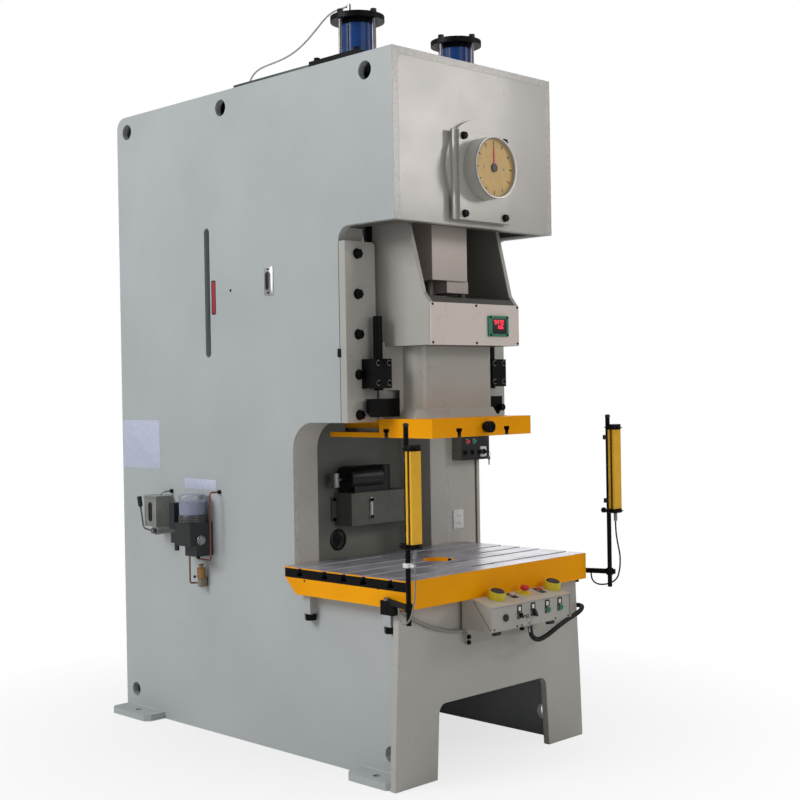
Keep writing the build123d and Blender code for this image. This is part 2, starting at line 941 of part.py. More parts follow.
# Knock-out bar, loose in the slide
with BuildPart() as knockout_bar:
    with BuildSketch(facing_front(behind(knockout_bar_thick / 2 - knockout_reach))):
        with BuildLine():
            Polyline(
                (-knockout_bar_half + knockout_bar_bevel, knockout_bar_z),
                (-knockout_bar_half, knockout_bar_z + knockout_bar_bevel),
                (-knockout_bar_half, knockout_bar_top_z),
                (knockout_bar_half, knockout_bar_top_z),
                (knockout_bar_half, knockout_bar_z + knockout_bar_bevel),
                (knockout_bar_half - knockout_bar_bevel, knockout_bar_z),
                close=True,
            )
        make_face()
    extrude(amount=knockout_bar_thick)
knockout_bar.part.label = "knockout_bar"
export_step(knockout_bar.part, "parts/knockout_bar.step")

# Slide body: a lower block, the guided ears and the open box that the connection enters
with BuildPart() as slide_body:
    slide_outline = [
        (slide_half, behind(-slide_reach)),
        (slide_half, behind(-slide_shoulder_reach)),
        (slide_neck_half, behind(-slide_neck_reach)),
        (slide_neck_half, behind(ear_back)),
        (-slide_neck_half, behind(ear_back)),
        (-slide_neck_half, behind(-slide_neck_reach)),
        (-slide_half, behind(-slide_shoulder_reach)),
        (-slide_half, behind(-slide_reach)),
    ]
    slide_radii = [slide_corner_radius, 0, 0, 0, 0, 0, 0, slide_corner_radius]
    with BuildSketch(Plane.XY.offset(slide_seat_z)):
        with BuildLine():
            FilletPolyline(*slide_outline, radius=slide_radii, close=True)
        make_face()
    extrude(amount=box_floor_z + box_floor_thick - slide_seat_z)
    with BuildSketch(Plane.XY.offset(slide_seat_z)):
        with Locations((0, behind(-slide_shoulder_reach / 2))):
            RectangleRounded(
                2 * (slide_half + slide_flare),
                2 * (slide_reach + slide_flare) - slide_shoulder_reach,
                slide_corner_radius,
            )
    extrude(amount=slide_flare_height, taper=math.degrees(math.atan(slide_flare / slide_flare_height)))
    for side in (-1, 1):
        block(
            ear_half * side,
            (ear_half - ear_post_width) * side,
            behind(guide_setback + guide_clearance),
            behind(ear_back),
            ear_bottom_z,
            ear_top_z,
        )
    block(-ear_half, ear_half, behind(ear_back - ear_wall_thick), behind(ear_back), ear_bottom_z, ear_top_z)
    with BuildSketch(Plane.XY.offset(box_floor_z)):
        with BuildLine():
            Polyline(
                (-box_half_back, behind(guide_setback)),
                (-box_half_front, behind(-box_reach)),
                (box_half_front, behind(-box_reach)),
                (box_half_back, behind(guide_setback)),
                close=True,
            )
        make_face()
    extrude(amount=cheek_top_z - box_floor_z)
    with BuildSketch(Plane.XY.offset(box_floor_z + box_floor_thick)):
        with BuildLine():
            Polyline(
                (-box_half_back + cheek_thick, behind(guide_setback)),
                (-box_half_front + cheek_thick, behind(cheek_thick - box_reach)),
                (box_half_front - cheek_thick, behind(cheek_thick - box_reach)),
                (box_half_back - cheek_thick, behind(guide_setback)),
                close=True,
            )
        make_face()
    extrude(amount=cheek_top_z - box_floor_z, mode=Mode.SUBTRACT)
    with BuildSketch(Plane.YZ.offset(-frame_width)):
        with BuildLine():
            cheek_edge = Polyline(
                (behind(-box_reach), cover_top_z),
                (behind(-cheek_shoulder_reach), slide_seat_z + cheek_shoulder_rise),
                (behind(-cheek_bend_reach), slide_seat_z + cheek_bend_rise),
                (behind(-cheek_top_reach), cheek_top_z),
            )
            Polyline(
                cheek_edge @ 1,
                (behind(-box_reach - plate_thick), cheek_top_z),
                (behind(-box_reach - plate_thick), cover_top_z),
                cheek_edge @ 0,
            )
        make_face()
    extrude(amount=2 * frame_width, mode=Mode.SUBTRACT)
    bar_along_z(0, ram_y, box_floor_z, screw_ball_z + screw_ball_radius / 3, seat_radius)
    with Locations((0, ram_y, screw_ball_z)):
        Sphere(screw_ball_radius + running_clearance, mode=Mode.SUBTRACT)
    block(
        -slide_neck_half,
        slide_neck_half,
        behind(-knockout_reach - knockout_bar_thick / 2 - knockout_clearance),
        behind(-knockout_reach + knockout_bar_thick / 2 + knockout_clearance),
        knockout_bar_z - knockout_clearance,
        knockout_bar_top_z + knockout_travel + knockout_clearance,
        mode=Mode.SUBTRACT,
    )
slide_body.part.label = "slide_body"
export_step(slide_body.part, "parts/slide_body.step")

# Slide plate with its clamping slots and the shank hole
with BuildPart() as slide_plate:
    block(
        -slide_plate_half,
        slide_plate_half,
        behind(-slide_plate_reach),
        ram_y,
        slide_bottom_z,
        slide_seat_z,
    )
    block(
        -slide_plate_half,
        slide_plate_half,
        ram_y,
        behind(slide_plate_reach),
        slide_bottom_z,
        slide_bottom_z + slide_flange_thick,
    )
    block(-slide_pad_half, slide_pad_half, ram_y, behind(slide_pad_back), slide_bottom_z, slide_seat_z)
    neck_top_z = slide_bottom_z + slot_neck_depth
    for slot_half, slot_z0, slot_z1 in (
        (slot_neck_width / 2, slide_bottom_z, neck_top_z),
        (slot_head_width / 2, neck_top_z, neck_top_z + slot_head_depth),
    ):
        for slot_x in (-slide_slot_x, slide_slot_x):
            block(
                slot_x - slot_half,
                slot_x + slot_half,
                behind(-slide_plate_reach),
                behind(slide_plate_reach),
                slot_z0,
                slot_z1,
                mode=Mode.SUBTRACT,
            )
        block(
            -slide_plate_half,
            slide_plate_half,
            behind(slide_slot_back - slot_half),
            behind(slide_slot_back + slot_half),
            slot_z0,
            slot_z1,
            mode=Mode.SUBTRACT,
        )
    bar_along_z(0, ram_y, slide_bottom_z, slide_bottom_z + shank_hole_depth, shank_hole_radius, mode=Mode.SUBTRACT)
slide_plate.part.label = "slide_plate"
export_step(slide_plate.part, "parts/slide_plate.step")

# Front cover of the slide, with the frame of the die height display
with BuildPart() as slide_cover:
    block(
        -cover_half,
        cover_half,
        behind(-box_reach - cover_thick),
        behind(-box_reach),
        box_floor_z,
        cover_top_z,
    )
    display_rear = behind(-box_reach - cover_thick)
    with BuildSketch(facing_front(display_rear)):
        with Locations((display_centre_x, slide_seat_z + display_rise)):
            RectangleRounded(display_width, display_height, 4)
    extrude(amount=display_proud)
    with BuildSketch(facing_front(display_rear - display_proud)):
        with Locations((display_centre_x, slide_seat_z + display_rise)):
            RectangleRounded(display_width - 2 * display_frame, display_height - 2 * display_frame, 3)
    extrude(amount=-display_recess, mode=Mode.SUBTRACT)
slide_cover.part.label = "slide_cover"
export_step(slide_cover.part, "parts/slide_cover.step")

def involute_turn(base_radius, radius):
    """Return the involute angle, in radians, of a flank point at this radius."""
    roll = math.sqrt(max((radius / base_radius) ** 2 - 1, 0))
    return roll - math.atan(roll)


def gear_outline(teeth, first_angle):
    """Return the closed outline of a spur gear whose tooth zero is centred on an angle in degrees."""
    pitch_radius = gear_module * teeth / 2
    base_radius = pitch_radius * math.cos(math.radians(pressure_angle))
    tip_radius = pitch_radius + gear_addendum * gear_module
    root_radius = pitch_radius - gear_dedendum * gear_module
    half_tooth = math.pi / (2 * teeth) - gear_backlash / (4 * pitch_radius)
    pitch_turn = involute_turn(base_radius, pitch_radius)
    start_radius = max(base_radius, root_radius)
    flank = []
    for radius in (start_radius, pitch_radius, tip_radius):
        flank.append((radius, half_tooth + pitch_turn - involute_turn(base_radius, radius)))
    if start_radius > root_radius:
        flank.insert(0, (root_radius, flank[0][1]))
    points = []
    for tooth in range(teeth):
        centre = math.radians(first_angle) + 2 * math.pi * tooth / teeth
        side_points = [(radius, centre - turn) for radius, turn in flank]
        side_points += [(radius, centre + turn) for radius, turn in reversed(flank)]
        points += [(radius * math.cos(angle), radius * math.sin(angle)) for radius, angle in side_points]
    return points


# Crankshaft at the top of its stroke: journals, two webs, the pin and the main gear, which has a space of
# its teeth straight below the axis
with BuildPart() as crankshaft:
    nose_front = behind(-head_reach - boss_thick - cover_plate_thick - dial_plate_thick - dial_depth + dial_recess)
    bar_along_y(0, behind(-head_reach), behind(-pin_half_length), crank_z, journal_radius)
    bar_along_y(0, behind(pin_half_length), behind(crank_rear), crank_z, journal_radius)
    bar_along_y(0, behind(-pin_half_length), behind(pin_half_length), crank_z + throw, pin_radius)
    bar_along_y(0, nose_front, behind(-head_reach), crank_z, nose_radius)
    for web_rear in (behind(-pin_half_length), behind(pin_half_length + web_thick)):
        with BuildSketch(facing_front(web_rear)):
            with Locations((0, crank_z + throw / 2)):
                SlotCenterToCenter(throw, 2 * web_radius, rotation=90)
        extrude(amount=web_thick)
    with BuildSketch(facing_front(behind(gear_place + gear_face))):
        with BuildLine():
            half_pitch = 180 / gear_teeth
            Polyline(*[(x, z + crank_z) for x, z in gear_outline(gear_teeth, half_pitch - 90)], close=True)
        make_face()
    extrude(amount=gear_face)
    rim_inner = gear_module * gear_teeth / 2 - 4 * gear_module
    for face_y, direction in ((behind(gear_place), 1), (behind(gear_place + gear_face), -1)):
        with BuildSketch(facing_front(face_y)):
            with Locations((0, crank_z)):
                Circle(rim_inner)
                Circle(gear_hub_radius, mode=Mode.SUBTRACT)
        extrude(amount=-direction * (gear_face - gear_web_thick) / 2, mode=Mode.SUBTRACT)
crankshaft.part.label = "crankshaft"
export_step(crankshaft.part, "parts/crankshaft.step")

# Pinion shaft with its pinion and the brake drum behind the flywheel
with BuildPart() as pinion_shaft:
    bar_along_y(0, behind(shaft_front), behind(shaft_rear), shaft_z, shaft_radius)
    with BuildSketch(facing_front(behind(pinion_place + pinion_face))):
        with BuildLine():
            Polyline(*[(x, z + shaft_z) for x, z in gear_outline(pinion_teeth, 90)], close=True)
        make_face()
    extrude(amount=pinion_face)
    brake_y = behind(flywheel_place + flywheel_width + plate_thick / 2)
    bar_along_y(0, brake_y, brake_y + brake_thick, shaft_z, brake_radius)
pinion_shaft.part.label = "pinion_shaft"
export_step(pinion_shaft.part, "parts/pinion_shaft.step")

# Flywheel, free on the pinion shaft
with BuildPart() as flywheel:
    wheel_rear = behind(flywheel_place + flywheel_width)
    bar_along_y(0, wheel_rear - flywheel_width, wheel_rear, shaft_z, flywheel_radius)
    dish_depth = (flywheel_width - flywheel_web) / 2
    for face_y, direction in ((behind(flywheel_place), 1), (wheel_rear, -1)):
        with BuildSketch(facing_front(face_y)):
            with Locations((0, shaft_z)):
                Circle(flywheel_radius - flywheel_rim)
                Circle(flywheel_hub_radius, mode=Mode.SUBTRACT)
        extrude(amount=-direction * dish_depth, mode=Mode.SUBTRACT)
    bar_along_y(
        0,
        behind(flywheel_place),
        wheel_rear,
        shaft_z,
        shaft_radius + running_clearance,
        mode=Mode.SUBTRACT,
    )
flywheel.part.label = "flywheel"
export_step(flywheel.part, "parts/flywheel.step")

# Motor on its shelf behind the recessed wall, and the belts round the flywheel and the motor's pulley
with BuildPart() as motor:
    with BuildSketch(facing_front(behind(pulley_place + pulley_width))):
        with Locations((0, shaft_z)):
            Circle(flywheel_radius + belt_gap + belt_thick)
        with Locations((0, motor_z)):
            Circle(pulley_radius + belt_gap + belt_thick)
        make_hull()
    extrude(amount=pulley_width)
    with BuildSketch(facing_front(behind(pulley_place + pulley_width))):
        with Locations((0, shaft_z)):
            Circle(flywheel_radius + belt_gap)
        with Locations((0, motor_z)):
            Circle(pulley_radius + belt_gap)
        make_hull()
    extrude(amount=pulley_width, mode=Mode.SUBTRACT)
    shelf_y = behind(recess_depth + back_wall_thick)
    shelf_top_z = motor_z - motor_radius
    motor_front = behind(motor_place)
    motor_rear = behind(motor_place + motor_length)
    block(-shelf_half, shelf_half, shelf_y, motor_rear, shelf_top_z - shelf_thick, shelf_top_z)
    block(-motor_foot_half, motor_foot_half, motor_front, motor_rear, shelf_top_z, shelf_top_z + shelf_thick)
    bar_along_y(0, motor_front, motor_rear, motor_z, motor_radius)
    bar_along_y(0, motor_rear, behind(pulley_place + pulley_width), motor_z, motor_shaft_radius)
motor.part.label = "motor"
export_step(motor.part, "parts/motor.step")

# Motor pulley
with BuildPart() as motor_pulley:
    pulley_y0 = behind(pulley_place)
    pulley_y1 = behind(pulley_place + pulley_width)
    bar_along_y(0, pulley_y0, pulley_y1, motor_z, pulley_radius)
    bar_along_y(0, pulley_y0, pulley_y1, motor_z, motor_shaft_radius + running_clearance, mode=Mode.SUBTRACT)
motor_pulley.part.label = "motor_pulley"
export_step(motor_pulley.part, "parts/motor_pulley.step")

# Connecting rod: the strap round the crank pin, the square shank and the clamping nut under it
with BuildPart() as connecting_rod:
    strap_half_height = pin_radius + strap_end_clearance
    strap_half_width = pin_radius + throw + strap_side_clearance
    with BuildSketch(facing_front(behind(rod_half_y))):
        with Locations((0, crank_z + throw)):
            SlotOverall(2 * (strap_half_width + strap_wall), 2 * (strap_half_height + strap_wall))
        with Locations((0, (rod_bottom_z + crank_z) / 2)):
            Rectangle(2 * rod_half_x, crank_z - rod_bottom_z)
        with Locations((0, crank_z + throw)):
            SlotOverall(2 * strap_half_width, 2 * strap_half_height, mode=Mode.SUBTRACT)
    extrude(amount=2 * rod_half_y)
    block(
        nut_offset - nut_half,
        nut_offset + nut_half + nut_offset / 2,
        behind(-rod_half_y * 0.9),
        behind(rod_half_y * 0.5),
        rod_bottom_z - nut_height,
        rod_bottom_z,
    )
    bar_along_z(
        0,
        ram_y,
        rod_bottom_z - nut_height,
        rod_bottom_z + screw_engagement + screw_radius,
        screw_radius + running_clearance,
        mode=Mode.SUBTRACT,
    )
connecting_rod.part.label = "connecting_rod"
export_step(connecting_rod.part, "parts/connecting_rod.step")

# Adjusting screw with its ball foot and the drive ring
with BuildPart() as adjusting_screw:
    with Locations((0, ram_y, screw_ball_z)):
        Sphere(screw_ball_radius)
    bar_along_z(0, ram_y, screw_ball_z, rod_bottom_z + screw_engagement, screw_radius)
    ring_top_z = rod_bottom_z - nut_height - screw_ring_drop
    bar_along_z(0, ram_y, ring_top_z - screw_ring_thick, ring_top_z, screw_ring_radius)
adjusting_screw.part.label = "adjusting_screw"
export_step(adjusting_screw.part, "parts/adjusting_screw.step")

# Dial drum, recessed behind its rim
with BuildPart() as dial_case:
    dial_front = dial_plate_front - dial_depth
    bar_along_y(0, dial_front, dial_plate_front, crank_z, dial_radius)
    bar_along_y(0, dial_front, dial_front + dial_recess, crank_z, dial_radius - dial_rim, mode=Mode.SUBTRACT)
    bar_along_y(0, dial_front, dial_plate_front, crank_z, nose_radius + nose_clearance, mode=Mode.SUBTRACT)
dial_case.part.label = "dial_case"
export_step(dial_case.part, "parts/dial_case.step")

# Dial pointer on the crankshaft's nose
with BuildPart() as dial_pointer:
    pointer_y = nose_front
    bar_along_y(0, pointer_y - pointer_hub_thick, pointer_y, crank_z, pointer_hub_radius)
    with BuildSketch(facing_front(pointer_y)):
        with BuildLine():
            Polyline(
                (-pointer_half_width, crank_z),
                (-pointer_half_width / 2, crank_z + pointer_length * 0.8),
                (0, crank_z + pointer_length),
                (pointer_half_width / 2, crank_z + pointer_length * 0.8),
                (pointer_half_width, crank_z),
                close=True,
            )
        make_face()
    extrude(amount=pointer_thick)
dial_pointer.part.label = "dial_pointer"
export_step(dial_pointer.part, "parts/dial_pointer.step")

# Balance cylinder tubes, closed at the foot round the piston rod
with BuildPart() as balancer_tubes:
    for side in (-1, 1):
        tube_place = (balancer_x * side, behind(balancer_back))
        bar_along_z(*tube_place, balancer_bottom_z, balancer_cap_z, balancer_radius)
        bar_along_z(
            *tube_place, balancer_bottom_z + balancer_floor, balancer_cap_z, balancer_bore, mode=Mode.SUBTRACT
        )
        bar_along_z(
            *tube_place,
            balancer_bottom_z,
            balancer_bottom_z + balancer_floor,
            piston_rod_radius + running_clearance,
            mode=Mode.SUBTRACT,
        )
balancer_tubes.part.label = "balancer_tubes"
export_step(balancer_tubes.part, "parts/balancer_tubes.step")

# Balance cylinder caps and base plates, and the two fittings of the air tube
with BuildPart() as balancer_flanges:
    for side in (-1, 1):
        tube_place = (balancer_x * side, behind(balancer_back))
        bar_along_z(*tube_place, balancer_cap_z, balancer_cap_z + balancer_cap_thick, balancer_cap_radius)
        block(
            balancer_x * side - balancer_base_half,
            balancer_x * side + balancer_base_half,
            behind(balancer_back - balancer_base_half),
            behind(balancer_back + balancer_base_half),
            frame_height,
            frame_height + balancer_base_thick,
        )
        bar_along_z(
            *tube_place,
            frame_height,
            frame_height + balancer_base_thick,
            balancer_radius + seat_gap,
            mode=Mode.SUBTRACT,
        )
    bar_along_z(air_cap_x, behind(air_cap_place), balancer_cap_z, air_cap_top_z, air_fitting_radius)
    bar_along_y(
        air_cap_x,
        behind(air_cap_place),
        behind(air_cap_place + air_stub_length),
        air_cap_top_z - air_fitting_radius,
        air_stub_radius,
    )
    bar_along_z(air_roof_x, behind(air_roof_place), frame_height, air_roof_z, air_fitting_radius)
balancer_flanges.part.label = "balancer_flanges"
export_step(balancer_flanges.part, "parts/balancer_flanges.step")

# Tie rods between base and cap, and the nuts on top
with BuildPart() as balancer_tie_rods:
    tie_places = [
        (
            balancer_x * side + tie_rod_circle * math.cos(math.radians(angle)),
            behind(balancer_back) + tie_rod_circle * math.sin(math.radians(angle)),
        )
        for side in (-1, 1)
        for angle in range(0, 360, 90)
    ]
    with BuildSketch(Plane.XY.offset(frame_height + balancer_base_thick)):
        with Locations(*tie_places):
            Circle(tie_rod_radius)
    extrude(amount=balancer_cap_z - frame_height - balancer_base_thick)
    with BuildSketch(Plane.XY.offset(balancer_cap_z + balancer_cap_thick)):
        with Locations(*tie_places):
            RegularPolygon(tie_nut_flats / 2, 6, major_radius=False)
    extrude(amount=tie_nut_height)
balancer_tie_rods.part.label = "balancer_tie_rods"
export_step(balancer_tie_rods.part, "parts/balancer_tie_rods.step")

# Balance pistons and their rods, which stand on the slide's ears
with BuildPart() as balancer_rods:
    piston_top_z = balancer_cap_z - piston_drop
    for side in (-1, 1):
        tube_place = (balancer_x * side, behind(balancer_back))
        bar_along_z(*tube_place, ear_top_z, piston_top_z, piston_rod_radius)
        bar_along_z(*tube_place, piston_top_z - piston_thick, piston_top_z, balancer_bore - running_clearance)
balancer_rods.part.label = "balancer_rods"
export_step(balancer_rods.part, "parts/balancer_rods.step")

# Electric cabinet: a shell that opens to the right, with a lip for the door's seal
cabinet_x0 = half_width
cabinet_x1 = half_width + cabinet_depth
cabinet_y0 = behind(throat_depth)
cabinet_y1 = cabinet_y0 + cabinet_length
cabinet_z0 = cabinet_bottom_z
cabinet_z1 = cabinet_bottom_z + cabinet_height
door_x0 = cabinet_x1 + cabinet_seal
hinge_x = cabinet_x1 + cabinet_seal / 2
hinge_y = cabinet_y1 + door_hinge_radius
with BuildPart() as cabinet:
    block(cabinet_x0, cabinet_x1, cabinet_y0, cabinet_y1, cabinet_z0, cabinet_z1)
    block(
        cabinet_x1,
        door_x0 - seat_gap,
        cabinet_y0 + cabinet_seal_inset,
        cabinet_y1 - cabinet_seal_inset,
        cabinet_z0 + cabinet_seal_inset,
        cabinet_z1 - cabinet_seal_inset,
    )
    lip = cabinet_seal_inset + cabinet_wall
    block(
        cabinet_x0 + cabinet_wall,
        door_x0,
        cabinet_y0 + lip,
        cabinet_y1 - lip,
        cabinet_z0 + lip,
        cabinet_z1 - lip,
        mode=Mode.SUBTRACT,
    )
    for hinge_z in (cabinet_z0 + cabinet_height * 0.15, cabinet_z0 + cabinet_height * 0.85):
        bar_along_z(hinge_x, hinge_y, hinge_z - door_hinge_length / 2, hinge_z, door_hinge_radius)
        block(
            cabinet_x1 - 20,
            hinge_x,
            cabinet_y1,
            hinge_y,
            hinge_z - door_hinge_length / 2,
            hinge_z,
        )
cabinet.part.label = "cabinet"
export_step(cabinet.part, "parts/cabinet.step")

# Cabinet door: a shallow pan with its hinge leaves
with BuildPart() as cabinet_door:
    block(door_x0, door_x0 + door_thick, cabinet_y0, cabinet_y1, cabinet_z0, cabinet_z1)
    block(
        door_x0,
        door_x0 + door_thick - door_skin,
        cabinet_y0 + door_skin,
        cabinet_y1 - door_skin,
        cabinet_z0 + door_skin,
        cabinet_z1 - door_skin,
        mode=Mode.SUBTRACT,
    )
    with BuildSketch(Plane.YZ.offset(door_x0)):
        seal_y = (cabinet_y0 + cabinet_y1) / 2
        seal_z = (cabinet_z0 + cabinet_z1) / 2
        with Locations((seal_y, seal_z)):
            Rectangle(cabinet_length - 2 * cabinet_seal_inset, cabinet_height - 2 * cabinet_seal_inset)
            Rectangle(cabinet_length - 2 * lip, cabinet_height - 2 * lip, mode=Mode.SUBTRACT)
    extrude(amount=door_thick - door_skin)
    for hinge_z in (cabinet_z0 + cabinet_height * 0.15, cabinet_z0 + cabinet_height * 0.85):
        bar_along_z(hinge_x, hinge_y, hinge_z + seat_gap, hinge_z + door_hinge_length / 2, door_hinge_radius)
        block(
            hinge_x,
            door_x0 + door_thick,
            cabinet_y1,
            hinge_y,
            hinge_z + seat_gap,
            hinge_z + door_hinge_length / 2,
        )
cabinet_door.part.label = "cabinet_door"
export_step(cabinet_door.part, "parts/cabinet_door.step")

# Lamp box on the front of the cabinet, with two knobs and a key switch under the lamps
with BuildPart() as lamp_box:
    lamp_x0 = half_width + lamp_box_inset
    lamp_x1 = lamp_x0 + lamp_box_width
    lamp_front = cabinet_y0 - lamp_box_depth
    block(
        lamp_x0,
        lamp_x1,
        lamp_front,
        cabinet_y0,
        lamp_box_bottom_z,
        lamp_box_bottom_z + lamp_box_height,
    )
    for fraction in (0.2, 0.5, 0.8):
        knob_x = lamp_x0 + lamp_box_width * fraction
        bar_along_y(knob_x, lamp_front - 18, lamp_front, lamp_box_bottom_z + 38, 12)
lamp_box.part.label = "lamp_box"
export_step(lamp_box.part, "parts/lamp_box.step")

# Curtain stands: a block on the bolster's side, a flat bar and an upright post
with BuildPart() as curtain_stands:
    bar_length = math.hypot(arm_outer_x - arm_inner_x, arm_outer_reach - arm_inner_reach)
    bar_turn = math.degrees(math.atan2(arm_outer_reach - arm_inner_reach, arm_outer_x - arm_inner_x))
    for side in (-1, 1):
        arm_block_rear = behind(-arm_inner_reach + 11)
        block(
            bolster_half * side,
            (bolster_half + arm_block_proud) * side,
            arm_block_rear - arm_block_length,
            arm_block_rear,
            arm_z + 3 - arm_block_height,
            arm_z + 3,
        )
        bar_centre = (
            (arm_inner_x + arm_outer_x) / 2 * side,
            behind(-(arm_inner_reach + arm_outer_reach) / 2),
            arm_z,
        )
        with Locations(Location(bar_centre, (0, 0, -bar_turn * side))):
            Box(bar_length, arm_thick, arm_height)
        bar_along_z(post_x * side, behind(-post_reach), post_bottom_z, post_top_z, post_radius)
        bar_along_z(
            post_x * side,
            behind(-post_reach),
            arm_z - arm_height / 2 - 4,
            arm_z + arm_height / 2 + 4,
            post_radius + 6,
        )
curtain_stands.part.label = "curtain_stands"
export_step(curtain_stands.part, "parts/curtain_stands.step")

# Light curtain bodies, grooved down both sides and clamped to their posts, with a plug below each
with BuildPart() as light_curtains:
    curtain_y = behind(-post_reach - curtain_offset)
    for side, curtain_z in zip((-1, 1), curtain_bottoms):
        block(
            post_x * side - curtain_width / 2,
            post_x * side + curtain_width / 2,
            curtain_y - curtain_depth / 2,
            curtain_y + curtain_depth / 2,
            curtain_z,
            curtain_z + curtain_height,
        )
        for edge in (-1, 1):
            groove_x = post_x * side + edge * curtain_width / 2
            block(
                groove_x - edge * curtain_groove,
                groove_x,
                curtain_y - curtain_groove,
                curtain_y + curtain_groove,
                curtain_z,
                curtain_z + curtain_height,
                mode=Mode.SUBTRACT,
            )
        bar_along_z(post_x * side, curtain_y, curtain_z - plug_length, curtain_z, plug_radius)
        for clamp_z in (curtain_z + 25, curtain_z + curtain_height - 45):
            block(
                post_x * side - post_radius - 6,
                post_x * side + post_radius + 6,
                curtain_y + curtain_depth / 2,
                behind(-post_reach) + post_radius + 6,
                clamp_z,
                clamp_z + 20,
            )
        bar_along_z(
            post_x * side,
            behind(-post_reach),
            curtain_z,
            curtain_z + curtain_height,
            post_radius + running_clearance,
            mode=Mode.SUBTRACT,
        )
light_curtains.part.label = "light_curtains"
export_step(light_curtains.part, "parts/light_curtains.step")

# Control box under the bolster's front edge, with its hanger
with BuildPart() as control_box:
    with BuildSketch(Plane.YZ.offset(panel_left_x)):
        with BuildLine():
            Polyline(
                (behind(-panel_back_reach), panel_bottom_z),
                (behind(-panel_reach), panel_bottom_z),
                (behind(-panel_reach), panel_fold_z),
                (behind(-panel_crease_reach), panel_crease_z),
                (behind(-bolster_reach - panel_gap), bed_z - panel_gap),
                (behind(-panel_back_reach), bed_z - panel_gap),
                close=True,
            )
        make_face()
    extrude(amount=panel_right_x - panel_left_x)
    block(
        panel_left_x + hanger_inset,
        panel_right_x - hanger_inset,
        behind(-panel_back_reach),
        behind(-bed_reach),
        panel_bottom_z - hanger_drop,
        panel_fold_z,
    )
control_box.part.label = "control_box"
export_step(control_box.part, "parts/control_box.step")

slope_run = panel_reach - panel_crease_reach
slope_rise = panel_crease_z - panel_fold_z
slope_length = math.hypot(slope_run, slope_rise)
panel_slope = Plane(
    origin=(0, behind(-panel_reach), panel_fold_z),
    x_dir=(1, 0, 0),
    z_dir=(0, -slope_rise / slope_length, slope_run / slope_length),
)
panel_front = facing_front(behind(-panel_reach))

# Yellow guard rings of the palm buttons and the disc under the emergency stop
with BuildPart() as guard_rings:
    with BuildSketch(panel_slope):
        with Locations(*[(place, button_line) for place in palm_places]):
            Circle(palm_ring_radius)
            Circle(palm_cap_radius + cap_clearance, mode=Mode.SUBTRACT)
    extrude(amount=palm_ring_height)
    with BuildSketch(panel_slope):
        with Locations((stop_place, button_line)):
            Circle(stop_disc_radius)
            Circle(stop_stem_radius + cap_clearance, mode=Mode.SUBTRACT)
    extrude(amount=stop_disc_height)
    with BuildSketch(panel_slope):
        with Locations((stop_place, button_line)):
            Circle(stop_collar_radius)
            Circle(stop_stem_radius + cap_clearance, mode=Mode.SUBTRACT)
    extrude(amount=stop_collar_height)
guard_rings.part.label = "guard_rings"
export_step(guard_rings.part, "parts/guard_rings.step")

# Palm buttons
for palm_name, palm_place in zip(("left", "right"), palm_places):
    with BuildPart() as palm_button:
        with BuildSketch(panel_slope.offset(palm_travel + 1)):
            with Locations((palm_place, button_line)):
                Circle(palm_cap_radius)
        extrude(amount=palm_ring_height - palm_travel - 1)
        with BuildSketch(panel_slope.offset(palm_ring_height)):
            with Locations((palm_place, button_line)):
                Circle(palm_cap_radius)
        extrude(amount=palm_cap_proud, taper=45)
    palm_button.part.label = "palm_" + palm_name
    export_step(palm_button.part, "parts/palm_" + palm_name + ".step")

# Emergency stop: a mushroom head on a stem
with BuildPart() as emergency_stop:
    with BuildSketch(panel_slope.offset(stop_travel + 1)):
        with Locations((stop_place, button_line)):
            Circle(stop_stem_radius)
    extrude(amount=stop_collar_height)
    with BuildSketch(panel_slope.offset(stop_collar_height + stop_travel + 1)):
        with Locations((stop_place, button_line)):
            Circle(stop_cap_radius)
    extrude(amount=stop_cap_height, taper=8)
emergency_stop.part.label = "emergency_stop"
export_step(emergency_stop.part, "parts/emergency_stop.step")

# Black legend plates, the pilot lamp and the rubber feet of the control box
with BuildPart() as panel_fittings:
    with BuildSketch(panel_slope):
        with Locations(*[(place, button_line) for place in top_button_places]):
            Rectangle(legend_width, legend_length)
            Circle(button_radius + cap_clearance, mode=Mode.SUBTRACT)
    extrude(amount=legend_thick)
    with BuildSketch(panel_front):
        with Locations(*[(place, front_row_z + 13) for place in (key_place, selector_place, *green_places)]):
            RectangleRounded(legend_width, legend_length, 5)
        with Locations(*[(place, front_row_z) for place in (key_place, selector_place, *green_places)]):
            Circle(button_radius + cap_clearance, mode=Mode.SUBTRACT)
    extrude(amount=legend_thick)
    with BuildSketch(panel_front):
        with Locations((pilot_place, front_row_z)):
            Circle(bezel_radius)
    extrude(amount=bezel_height)
    with BuildSketch(Plane.XY.offset(panel_bottom_z - panel_foot_height)):
        with Locations(*[(place, behind(-panel_reach) + panel_foot_radius + 2) for place in panel_foot_x]):
            Circle(panel_foot_radius)
    extrude(amount=panel_foot_height)
panel_fittings.part.label = "panel_fittings"
export_step(panel_fittings.part, "parts/panel_fittings.step")

# Bright bezels round the small buttons and the two selectors
with BuildPart() as button_bezels:
    with BuildSketch(panel_slope.offset(legend_thick)):
        with Locations(*[(place, button_line) for place in top_button_places]):
            Circle(bezel_radius)
            Circle(button_radius + cap_clearance, mode=Mode.SUBTRACT)
    extrude(amount=bezel_height)
    with BuildSketch(panel_front.offset(legend_thick)):
        with Locations(*[(place, front_row_z) for place in (key_place, selector_place, *green_places)]):
            Circle(bezel_radius)
            Circle(button_radius + cap_clearance, mode=Mode.SUBTRACT)
    extrude(amount=bezel_height)
button_bezels.part.label = "button_bezels"
export_step(button_bezels.part, "parts/button_bezels.step")

